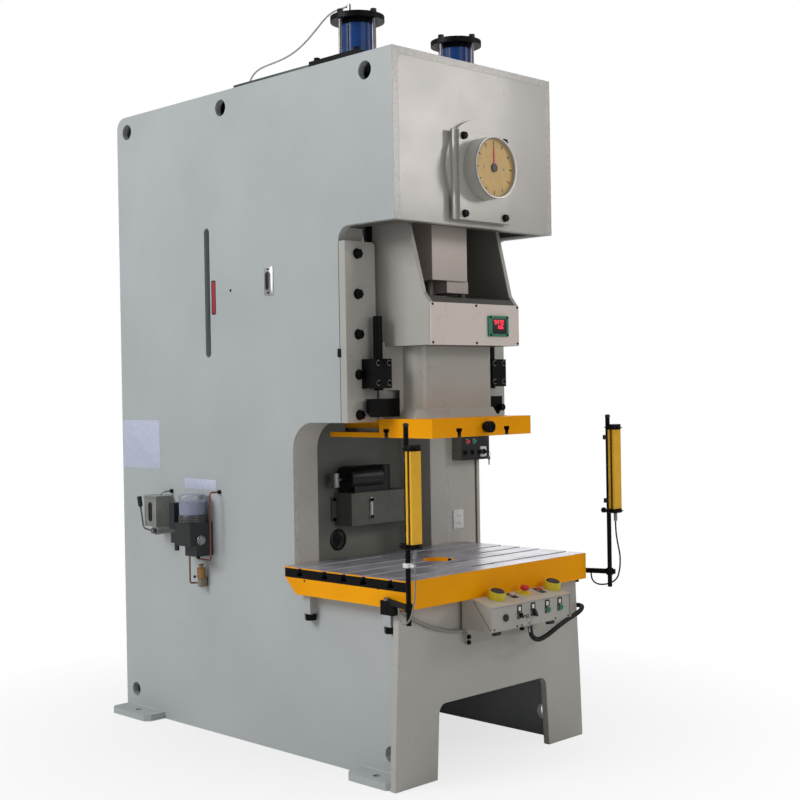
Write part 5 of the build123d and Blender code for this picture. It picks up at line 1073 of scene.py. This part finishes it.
@dataclass
class Cabinet:
    """The electric cabinet on the right with its door, the wall socket and the lamp box."""

    front_place: float = 350.0
    lamp_front: float = 290.0
    socket: tuple[float, float] = (548.0, 946.0)
    lamps: tuple[tuple[str, float, Finish], ...] = (("red", 559.0, LAMP_RED), ("green", 607.0, LAMP_GREEN))
    lamp_z: float = 1326.0
    key: Point = (675, 290, 1273)
    box_side: Rect = (684.0, 722.0, 1235.0, 165.0)
    handle: Point = (712.0, 430, 1290)
    door: Point = (712.0, 750, 1300)

    def build(self) -> None:
        """Dress the cabinet and add the lamp box's side, socket, lamps, key switch, door handle and door panel."""
        dress(LIT_COLUMN, "cabinet", "cabinet_door")
        dress(BOX_BLACK, "lamp_box")
        left, right, bottom, tall = self.box_side
        side = slab(rounded(right - left + 0.5, tall, 1.5), 60, 1.5).moved(right=-0.25)
        make("lamp_box_side", side, BOX_BLACK,
             seats(Side.FRONT, ((left + right) / 2, self.front_place, bottom + tall / 2)))
        self.wall_socket()
        ring = turned([(9, 0), (14, 0), (14, 4), (12, 6), (9, 6)], 40, closed=True)
        lens = turned([(9.2, 0), (9.2, 8), (8, 12), (5, 15), (2, 16)])
        for name, x, finish in self.lamps:
            seat = seats(Side.FRONT, (x, self.lamp_front, self.lamp_z))
            make(f"lamp_{name}_ring", ring, CHROME, seat)
            make(f"lamp_{name}", lens, finish, seat)
        seat = seats(Side.FRONT, self.key)
        make("key_switch_plate", slab(rounded(44, 50, 5), 3, 0.8), WHITE_PLASTIC, seat)
        make("key_switch_barrel", turned([(13, 2), (13, 9), (11.5, 10.5), (3, 10.6)]), BLACK, seat)
        make("lamp_box_keys", hanging_keys(), CHROME, seat)
        handle = slab(rounded(30, 120, 12), 9, 2) + slab(rounded(18, 84, 8), 24, 3, base=8).moved(up=-6)
        make("door_handle", handle, BLACK, seats(Side.RIGHT, self.handle), body="door")
        panel = slab(rounded(780, 1180, 4), 1.6, 0.4)
        make("door_panel", panel, LIT_COLUMN, seats(Side.RIGHT, self.door), body="door")

    def wall_socket(self) -> None:
        """Set the wall socket's plate with two slots in its upper row and three in its lower one."""
        seat = seats(Side.FRONT, (self.socket[0], self.front_place, self.socket[1]))
        make("wall_socket", slab(rounded(72, 92, 6), 7, 2), WHITE_PLASTIC, seat)
        rows = (((-8, 8), 18, rounded(3, 9, 1, 2)), ((-9, 0, 9), -20, rounded(2.6, 8, 1, 2)))
        slots = joined(slab(outline, 7.3, 0.1, base=6.5).moved(right, up)
                       for places, up, outline in rows for right in places)
        make("wall_socket_slots", slots, DARK_PLASTIC, seat)


def hanging_keys() -> Solid:
    """Return a key in its switch, with a ring of 12 mm radius through its bow and a second key on it."""
    bow = rim(circle(10, 28), circle(4, 28), 2.4, 0.4)
    blade = slab(rounded(7, 26, 1.5), 2.4, 0.4)
    first = Solid(bow.points[:, [2, 1, 0]] + [-1.2, 0, 30], [face[::-1] for face in bow.faces])
    stem = Solid(blade.points[:, [2, 0, 1]] + [-1.2, 0, 14], blade.faces)
    t = np.linspace(0, 2 * np.pi, 40)
    ring = np.stack([0 * t, 12 * np.cos(t) - 12, 36 + 12 * np.sin(t)], axis=-1)
    return first + stem + tube(ring, 0.9, 8) + bow.moved(up=-32, out=37) + blade.moved(up=-52, out=37)


@dataclass
class Bolster:
    """The bolster with its ground, slotted top."""

    thread_plugs: tuple[Point, ...] = ((-570, 208, 782), (-570, -240, 792))

    def build(self) -> None:
        """Dress the bolster and plug the two lifting threads in its left end."""
        dress(BOLSTER, "bolster")
        plug = turned([(5, 0), (5, 0.5), (3, 0.9)], 20)
        make("bolster_thread_plugs", plug, BLACK, seats(Side.LEFT, *self.thread_plugs))


@dataclass
class Curtains:
    """The two safety light curtains with their stands."""

    posts: tuple[tuple[str, int, float], ...] = (("left", -1, 996.0), ("right", 1, 1035.0))
    post_x: float = 645.0
    post_place: float = -487.0
    post_top: float = 1452.0
    body_place: float = -523.0
    height: float = 355.0
    half_width: float = 26.5
    half_depth: float = 16.0
    arm_bolt: Point = (583, -303, 753)
    sleeve: Point = (-647.5, -487.0, 904.5)

    def build(self) -> None:
        """Dress the bodies and stands, fit out both curtains and put the white sleeve round the left cable."""
        dress(YELLOW, "light_curtains")
        dress(BLACK, "curtain_stands")
        for name, side, bottom in self.posts:
            self.brackets(name, self.post_x * side, bottom)
            self.fittings(name, side, bottom)
        sleeve = slab(rounded(28, 30, 6), 17, 1.5) + slab(rounded(14, 34, 4), 11, 1).moved(right=4, up=-20, out=3)
        make("cable_sleeve", sleeve, WHITE_PLASTIC, seats(Side.TOP, self.sleeve))

    def brackets(self, name: str, x: float, bottom: float) -> None:
        """Close a curtain's two ends with a cap and the bracket that holds it to its post.

        Args:
            name: Which curtain.
            x: Its middle.
            bottom: Height of its lower end.
        """
        wide, deep = 2 * self.half_width, 2 * self.half_depth
        for end, z, side, tall, shift in (("lower", bottom, Side.UNDER, 19, -20),
                                          ("upper", bottom + self.height, Side.TOP, 24, 20)):
            cap = slab(rounded(wide + 3, deep + 3, 4), tall, 2) + slab(rounded(20, deep + 46, 6), 5, 1).moved(out=6)
            ear = slab(rounded(34, 52, 8), 5, 1).moved(up=shift, out=7)
            make(f"curtain_bracket_{end}_{name}", cap + ear, BLACK, seats(side, (x, self.body_place, z)))

    def fittings(self, name: str, side: int, bottom: float) -> None:
        """Add a curtain's window, side grooves, knobs, post cap and arm bolt.

        Args:
            name: Which curtain.
            side: -1 for the left one and 1 for the right one.
            bottom: Height of its lower end.
        """
        x, middle = self.post_x * side, bottom + self.height / 2
        window = slab(rounded(17, self.height - 26, 3), 1.0, 0.3)
        make(f"curtain_window_{name}", window, DARK_PLASTIC,
             seats(Side.BACK, (x - side * 8, self.body_place + self.half_depth, middle)))
        strip = slab(rounded(12.4, self.height - 2, 1), 0.7, 0.2)
        for mark, edge, direction in (("a", -1, Side.LEFT), ("b", 1, Side.RIGHT)):
            make(f"curtain_groove_{name}_{mark}", strip, DARK_PLASTIC,
                 seats(direction, (x + edge * (self.half_width - 6), self.body_place, middle)))
        knob = turned([(5, 0), (5, 6), (11, 7), (12, 9), (12, 20), (10, 22)], 24)
        make(f"curtain_clamp_knob_{name}", knob, BLACK, seats(Side.BACK, (x, self.post_place + 14, bottom - 10)))
        cap = turned([(10.4, -8), (11.4, -6), (11.4, 2), (9, 5), (4, 6)], 28)
        make(f"curtain_post_cap_{name}", cap, DARK_PLASTIC, seats(Side.TOP, (x, self.post_place, self.post_top)))
        knob = turned([(6, 0), (6, 4), (9, 5), (9, 14), (7, 16)], 24)
        make(f"curtain_side_knob_{name}", knob, BLACK, seats(Side.LEFT, (x - 30, self.body_place + 12, bottom - 9)))
        arm_x, place, z = self.arm_bolt
        make(f"curtain_arm_bolt_{name}", bolt_head(22, 12), CHROME, seats(Side.TOP, (arm_x * side, place, z)))


@dataclass
class ControlPanel:
    """The two-hand control box: rings, caps, legends, keys, feet, screws and its sheet-metal seams."""

    ends: tuple[float, float] = (-217.0, 295.0)
    front_place: float = -532.0
    bottom_z: float = 597.0
    fold_z: float = 700.0
    crease: tuple[float, float] = (-432.0, 719.0)
    front_row: tuple[float, ...] = (-43.0, 44.0, 138.0, 222.0)
    legend_z: float = 674.0
    key: Point = (-43, -546, 648)
    feet_x: tuple[float, float] = (-169, 177)
    screws: tuple[tuple[float, float], ...] = ((-202, 608), (-60, 604), (-30, 604), (20, 604), (192, 604), (278, 604))
    knob_x: float = -10.0
    hanger: Spread = (-180, -370, (558, 535))

    def build(self) -> None:
        """Dress the box and its controls, and add the fine pieces."""
        dress(PANEL, "control_box")
        dress(YELLOW_PLASTIC, "guard_rings")
        dress(PURPLE_BLACK, "palm_left", "palm_right")
        dress(RED_PLASTIC, "emergency_stop", "reset_button")
        dress(GREEN_PLASTIC, "start_button", "run_button")
        dress(ALUMINIUM, "ready_button")
        dress(CHROME, "button_bezels")
        dress(DARK_PLASTIC, "panel_fittings", "key_switch", "mode_selector")
        front, bottom = self.front_place, self.bottom_z
        legend = slab(rounded(15, 17, 1.5, 3), 2.1, 0.2, base=1.2)
        make("legend_inserts", legend, WHITE_PLASTIC, seats(Side.FRONT, (self.front_row, front, self.legend_z)))
        make("control_keys", hanging_keys(), CHROME, seats(Side.FRONT, self.key))
        self.sheet_metal()
        make("panel_feet", slab(rounded(26, 24, 2), 16, 2), DARK_PLASTIC,
             seats(Side.UNDER, (self.feet_x, front + 14, bottom)))
        make("panel_screws", socket_screw(3.5, 3), BLACK, seats(Side.FRONT, *((x, front, z) for x, z in self.screws)))
        knob = turned([(5, 0), (5, 4), (9, 5), (10, 7), (10, 16), (8, 18)], 24)
        make("panel_under_knob", knob, BLACK, seats(Side.UNDER, (self.knob_x, front + 16, bottom)))
        make("hanger_bolts", bolt_head(16, 9), BLACK, seats(Side.FRONT, self.hanger))

    def sheet_metal(self) -> None:
        """Add the lid's lip over the front face, its right return, and the seam on the left end."""
        left, right = self.ends
        front, fold, bottom = self.front_place, self.fold_z, self.bottom_z
        width, middle = right - left, (left + right) / 2
        make("panel_lip", slab(rounded(width, 5, 1, 3), 5.5, 0.8), PANEL,
             seats(Side.FRONT, (middle, front, fold - 2.5)))
        make("panel_lip_shadow", slab(rounded(width - 6, 1.6, 0.6, 3), 0.5, 0.1), SEAM,
             seats(Side.FRONT, (middle, front, fold - 6.2)))
        make("panel_side_lip", slab(rounded(5, fold - bottom - 5, 1, 3), 5.0, 0.8), PANEL,
             seats(Side.FRONT, (right - 2.5, front, (fold - 5 + bottom) / 2)))
        path = np.linspace(at(left - 0.2, *self.crease), at(left - 0.2, front + 6, bottom + 6), 12)
        make("panel_seam", tube(path, 0.0012, 8), DARK_ENAMEL)


@dataclass
class SideServices:
    """The hand pump, the lubrication pump with its reservoir, the valve and the pipes on the left side."""

    reservoir: Point = (-570.0, 995.0, 985.0)
    radius: float = 60.0
    hoop_heights: tuple[float, ...] = (7, 17, 27)
    window: Point = (-600, 1292, 1020)
    lid: Point = (-552, 1294, 1095)
    hex_plug: Point = (-570, 935, 905)
    wall_fittings: tuple[Point, ...] = ((-500, 874, 1126), (-500, 1251, 1115))
    pump_fitting: Point = (-560, 971, 829)
    pipe: tuple[Point, ...] = ((-509, 1251, 1115), (-524, 1252, 1115), (-536, 1256, 1114), (-545, 1264, 1109),
                               (-549, 1272, 1102), (-550, 1276, 1094))
    valve: Point = (-530, 990, 770)
    plate_screws: tuple[Point, ...] = ((-500, 1080, 716), (-500, 1052, 722), (-500, 1014, 719))

    def build(self) -> None:
        """Dress the nodes and add the reservoir, windows, fittings, the hand pump's pipe and lid, and the valve."""
        dress(PUMP, "hand_pump")
        dress(PUMP_BLACK, "lube_pump")
        dress(LEVER, "pump_lever")
        dress(COPPER, "oil_pipes")
        self.fill_reservoir()
        seat = seats(Side.LEFT, self.window)
        make("hand_pump_window_rim", rim(rounded(26, 92, 13), rounded(18, 84, 9), 4, 0.8), DARK_PLASTIC, seat)
        make("hand_pump_window", slab(rounded(19, 85, 9), 1.4, 0.4), DARK_PLASTIC, seat)
        plug = slab(hexagon(34), 14, 1.5) + turned([(22, 0), (22, 3), (20, 4)])
        make("pump_hex_plug", plug, CHROME, seats(Side.FRONT, self.hex_plug))
        make("pipe_fittings", slab(hexagon(17), 12, 1.2), BLACK,
             seats(Side.LEFT, *self.wall_fittings) + seats(Side.UNDER, self.pump_fitting))
        path = (np.array(self.pipe) + [0, SLIDE_Y, 0]) / 1000
        make("hand_pump_pipe", tube(path, 0.003, 12), THIN_PIPE, sharp=70)
        lid = rim(rounded(92, 100, 4), rounded(84, 92, 3), 3.2, 0.8)
        make("hand_pump_lid", lid, ALUMINIUM, seats(Side.TOP, self.lid))
        valve = turned([(18.4, -48), (19, -46), (19, -2), (17, 0), (8, 0.6), (7, 6), (12, 8), (12, 14), (10, 16)], 36)
        make("valve_body", valve, BRASS, seats(Side.TOP, self.valve))
        make("plate_screws_left", socket_screw(6, 6), BLACK, seats(Side.LEFT, *self.plate_screws))

    def fill_reservoir(self) -> None:
        """Replace the plain jar with one that has a step and a lid, and add its oil, collar and hoops."""
        r, seat = self.radius, seats(Side.TOP, self.reservoir)
        jar = turned([(r - 2, 0), (r + 0.6, 1), (r + 0.6, 40), (r + 2.2, 44), (r + 2.2, 124), (r, 128.4),
                      (r - 14, 129.6), (r - 16, 128.8)], 64)
        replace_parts(make("reservoir_jar", jar, CLEAR, seat), "reservoir")
        make("reservoir_oil", turned([(r - 6, 4), (r - 4, 6), (r - 4, 96), (r - 8, 97)], 48), OIL, seat)
        collar = turned([(r + 2.6, 0), (r + 4.6, 0), (r + 4.6, 34), (r + 3.4, 36), (r + 2.6, 36)], 64, closed=True)
        make("reservoir_collar", collar, DARK_ENAMEL, seat)
        hoop = turned([(r + 4, 0), (r + 5.6, 0), (r + 6, 1.2), (r + 5.6, 2.4), (r + 4, 2.4)], 64, closed=True)
        make("reservoir_hoops", joined(hoop.moved(out=height) for height in self.hoop_heights), DARK_GREY_AND_SHADE, seat)


@dataclass
class Throat:
    """The hydraulic overload unit in the throat, and the grommet of the hose hole behind it."""

    glass: Point = (40.0, 430.0, 1034)
    screws: tuple[Spread, ...] = ((40.0, 425, (1074, 994)), ((-96, 312), 538, (985, 1078)), (268, 430, (999, 1066)))
    grommet: Point = (-64, 550, 887)

    def build(self) -> None:
        """Dress the unit and add the level glass, the ear screws and the grommet."""
        dress(OVERLOAD_SHADED, "overload_unit")
        seat = seats(Side.FRONT, self.glass)
        make("level_glass_frame", slab(rounded(20, 100, 8), 5, 1), CHROME, seat)
        make("level_glass", slab(rounded(10, 68, 4), 6.5, 0.6), WHITE_PLASTIC, seat)
        make("tank_screws", socket_screw(8, 7), BLACK, seats(Side.FRONT, *self.screws))
        ring = turned([(40, 0), (50, 0), (50, 4), (44, 7), (40, 7)], 48, closed=True)
        make("hose_grommet", ring, DARK_PLASTIC, seats(Side.FRONT, self.grommet))


@dataclass(frozen=True)
class Cord:
    """A free cord: a smooth line through the same points as its solid, plain or with rings."""

    name: str
    radius: float
    length: float
    stiffness: str
    finish: Finish
    points: tuple[Point, ...]
    ringed: bool = False

    def build(self) -> None:
        """Make the cord, a plain one as a bevelled curve and a ringed one as a tube, and hide its CAD node."""
        route = [at(*point) for point in self.points]
        piece, path = self.spline(route), None
        if self.ringed:
            piece, path = self.corrugated(piece)
        else:
            piece.data.bevel_depth = self.radius / 1000
            piece.data.bevel_resolution = 4
            piece.data.use_fill_caps = True
            piece.data.materials.append(self.finish.material())
            piece.name = self.name + "_run"
            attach(piece, "frame")
        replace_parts(piece, self.name)

    def spline(self, route: list[np.ndarray]) -> bpy.types.Object:
        """Return a curve object whose one open NURBS spline has the route's points as its control points."""
        data = bpy.data.curves.new(self.name + "_line", "CURVE")
        data.dimensions = "3D"
        data.resolution_u = 10
        line = data.splines.new("NURBS")
        line.points.add(len(route) - 1)
        line.points.foreach_set("co", np.concatenate([np.array(route), np.ones((len(route), 1))], axis=1).ravel())
        line.order_u = 3
        line.use_endpoint_u = True
        curve = bpy.data.objects.new(self.name + "_line", data)
        bpy.context.scene.collection.objects.link(curve)
        return curve

    def corrugated(self, curve: bpy.types.Object) -> tuple[bpy.types.Object, np.ndarray]:
        """Carry a ringed hose along a curve: r = R (1 - 0.12 (1 + cos(2 pi s / pitch)) / 2), a pitch of 5 mm.

        Args:
            curve: The plain line, which is read as the mesh of the curve with no bevel and then taken away.

        Returns:
            The piece and the even points that it follows.
        """
        mesh = bpy.data.meshes.new_from_object(curve)
        line = np.empty(len(mesh.vertices) * 3)
        mesh.vertices.foreach_get("co", line)
        line = line.reshape(-1, 3)
        bpy.data.meshes.remove(mesh)
        bpy.data.objects.remove(curve)
        s = np.concatenate([[0], np.cumsum(np.linalg.norm(np.diff(line, axis=0), axis=1))]) * 1000
        even = np.arange(0, s[-1], 1.0)
        even[-1] = s[-1]
        path = np.stack([np.interp(even, s, line[:, axis]) for axis in range(3)], axis=-1)
        wave = (1 + np.cos(2 * np.pi * even / 5)) / 2
        ringed = tube(path, self.radius * (1 - 0.12 * wave) / 1000, 24)
        return make(self.name + "_run", ringed, self.finish, sharp=70), path[::4]


@dataclass
class Cords:
    """The free cords of the press."""

    runs: tuple[Cord, ...] = (
        Cord("air_tube", 4.0, 0.709, "medium", NYLON, (
            (-345, 124, 3233), (-345, 165, 3233), (-348, 213, 3229), (-352, 258, 3210), (-358, 300, 3177),
            (-364, 346, 3143), (-370, 396, 3112), (-376, 451, 3089), (-380, 509, 3076), (-382, 566, 3070),
            (-384, 624, 3066), (-385, 680, 3059), (-385, 722, 3041), (-385, 748, 3012), (-385, 748, 2985))),
        Cord("curtain_cable_left", 3.5, 0.405, "medium", GREY_SHEATH, (
            (-645, -523, 941), (-645, -523, 900), (-648, -528, 850), (-656, -533, 801), (-667, -533, 754),
            (-675, -524, 709), (-660, -473, 682), (-630, -425, 690), (-616.5, -404, 712), (-616.5, -404, 739))),
        Cord("curtain_cable_right", 3.5, 0.437, "medium", SHEATH, (
            (645, -523, 980), (645, -523, 945), (657, -519, 905), (673, -515, 865), (690, -512, 825),
            (697, -508, 785), (696, -503, 746), (691, -494, 712), (671, -466, 688), (640, -424, 684),
            (616.5, -404, 708), (616.5, -404, 739))),
        Cord("panel_hose", 10.5, 0.756, "stiff", SHEATH, (
            (98, -470, 597), (98, -470, 560), (112, -469, 526), (160, -465, 506), (235, -455, 517),
            (320, -441, 539), (405, -425, 556), (490, -408, 566), (557, -390, 577), (606, -360, 586),
            (613, -318, 586), (590, -288, 581), (545, -283, 577), (500, -283, 577)), ringed=True),
        Cord("panel_conduit", 8.0, 0.399, "stiff", CONDUIT, (
            (-560, -364, 712), (-523, -364, 690), (-482, -364, 665), (-424, -364, 638), (-366, -364, 617),
            (-306, -364, 600), (-246, -364, 588), (-187, -364, 588)), ringed=True))

    def build(self) -> None:
        """Make each cord."""
        for run in self.runs:
            run.build()


@dataclass
class Studio:
    """Pale floor, soft lights and the camera at the photograph's angle."""

    eye: Point = (-4.261, -4.730, 1.590)
    yaw: float = 0.7844
    pitch: float = -0.0086
    roll: float = -0.017
    lens: float = 60.03
    floor_half: float = 40.0

    def build(self) -> None:
        """Set the view transform, world, floor, lights and camera."""
        scene = bpy.context.scene
        scene.view_settings.view_transform = "Standard"
        self.world(scene)
        self.floor()
        self.lamp("key_left", (-6.9, 2.1, 5.6), (-0.5, -0.1, 1.7), 3.6, 385)
        self.lamp("fill_front", (-0.6, -7.5, 3.2), (0, -0.6, 1.4), 4.0, 66)
        self.lamp("head_front", (4.5, -5.6, 3.95), (-0.2, -1.0, 2.5), 1.5, 68, (1.0, 0.94, 0.93))
        self.lamp("top", (0.4, -0.6, 7.5), (0, 0, 0), 5.0, 165)
        self.lamp("rear_right", (6.0, 4.5, 3.5), (0, 0, 1.5), 4.0, 84)
        self.camera(scene)

    @staticmethod
    def seen(graph: Graph) -> Socket:
        """Return 1 for what the camera sees straight on or through clear plastic, and 0 elsewhere."""
        path = graph.add_node("ShaderNodeLightPath").outputs
        return graph.both("MAXIMUM", path["Is Camera Ray"], path["Is Transmission Ray"])

    def world(self, scene: bpy.types.Scene) -> None:
        """Show white to the camera, and light the press with a plain grey sky, as a dim hall would."""
        world = bpy.data.worlds.new("studio")
        world.use_nodes = True
        graph = Graph(world.node_tree)
        light, shown = (graph.add_node("ShaderNodeBackground", {"Color": (1, 1, 1, 1), "Strength": strength})
                        for strength in (0.25, 1.0))
        mix = graph.add_node("ShaderNodeMixShader", links={0: self.seen(graph), 1: light.outputs[0],
                                                           2: shown.outputs[0]})
        graph.add_node("ShaderNodeOutputWorld", links={0: mix.outputs[0]})
        scene.world = world

    def floor(self) -> None:
        """Lay a pale floor that fades into the white background away from the press."""
        half = self.floor_half
        corners = [(-half, -half, -0.001), (half, -half, -0.001), (half, half, -0.001), (-half, half, -0.001)]
        mesh = bpy.data.meshes.new("floor")
        mesh.from_pydata(corners, [], [(0, 1, 2, 3)])
        made = bpy.data.materials.new("studio_floor")
        made.use_nodes = True
        graph = Graph(made.node_tree)
        distance = graph.add_node("ShaderNodeVectorMath", {"operation": "LENGTH"}, {0: graph.place})
        fade = graph.add_node("ShaderNodeMapRange", {"From Min": 0.6, "From Max": 2.4, "To Min": 0.72},
                              {"Value": distance.outputs["Value"]})
        mask = graph.both("MULTIPLY", fade.outputs[0], self.seen(graph))
        matt = graph.add_node("ShaderNodeBsdfDiffuse", {"Color": (0.66, 0.66, 0.66, 1)})
        white = graph.add_node("ShaderNodeEmission", {"Color": (1, 1, 1, 1), "Strength": 1.0})
        mix = graph.add_node("ShaderNodeMixShader", links={0: mask, 1: matt.outputs[0], 2: white.outputs[0]})
        graph.add_node("ShaderNodeOutputMaterial", links={0: mix.outputs[0]})
        mesh.materials.append(made)
        floor = bpy.data.objects.new("floor", mesh)
        bpy.context.scene.collection.objects.link(floor)

    @staticmethod
    def lamp(name: str, place: Point, target: Point, size: float, power: float, colour: Point = (1, 1, 1)) -> None:
        """Hang one soft square lamp that looks at a target.

        Args:
            name: Name of the lamp.
            place: Where it hangs, in metres.
            target: What it looks at.
            size: Side of the lamp in metres.
            power: Power in watts.
            colour: Red, green and blue of its light.
        """
        data = bpy.data.lights.new(name, "AREA")
        data.size = size
        data.energy = power
        data.color = colour
        lamp = bpy.data.objects.new(name, data)
        lamp.location = place
        lamp.rotation_euler = (Vector(target) - Vector(place)).to_track_quat("-Z", "Y").to_euler()
        bpy.context.scene.collection.objects.link(lamp)

    def camera(self, scene: bpy.types.Scene) -> None:
        """Set the camera from its place and its three angles."""
        forward = Vector((math.sin(self.yaw) * math.cos(self.pitch), math.cos(self.yaw) * math.cos(self.pitch),
                          math.sin(self.pitch)))
        level = Vector((math.cos(self.yaw), -math.sin(self.yaw), 0))
        above = level.cross(forward)
        right = level * math.cos(self.roll) + above * math.sin(self.roll)
        up = above * math.cos(self.roll) - level * math.sin(self.roll)
        data = bpy.data.cameras.new("camera")
        data.lens = self.lens
        data.sensor_width = 36
        data.clip_end = 200
        eye = bpy.data.objects.new("camera", data)
        turn = Matrix((right, up, -forward)).transposed().to_4x4()
        eye.matrix_world = Matrix.Translation(self.eye) @ turn
        bpy.context.scene.collection.objects.link(eye)
        scene.camera = eye


def main() -> None:
    """Build the studio, the cords and each sub-assembly in order."""
    logging.basicConfig(level=logging.INFO, format="%(message)s")
    for part in (Studio(), Cords(), Frame(), Dial(), Slide(), Drive(), Balancers(), Cabinet(), Bolster(),
                 Curtains(), ControlPanel(), SideServices(), Throat()):
        LOG.info("building %s", type(part).__name__)
        part.build()


if __name__ == "__main__":
    main()
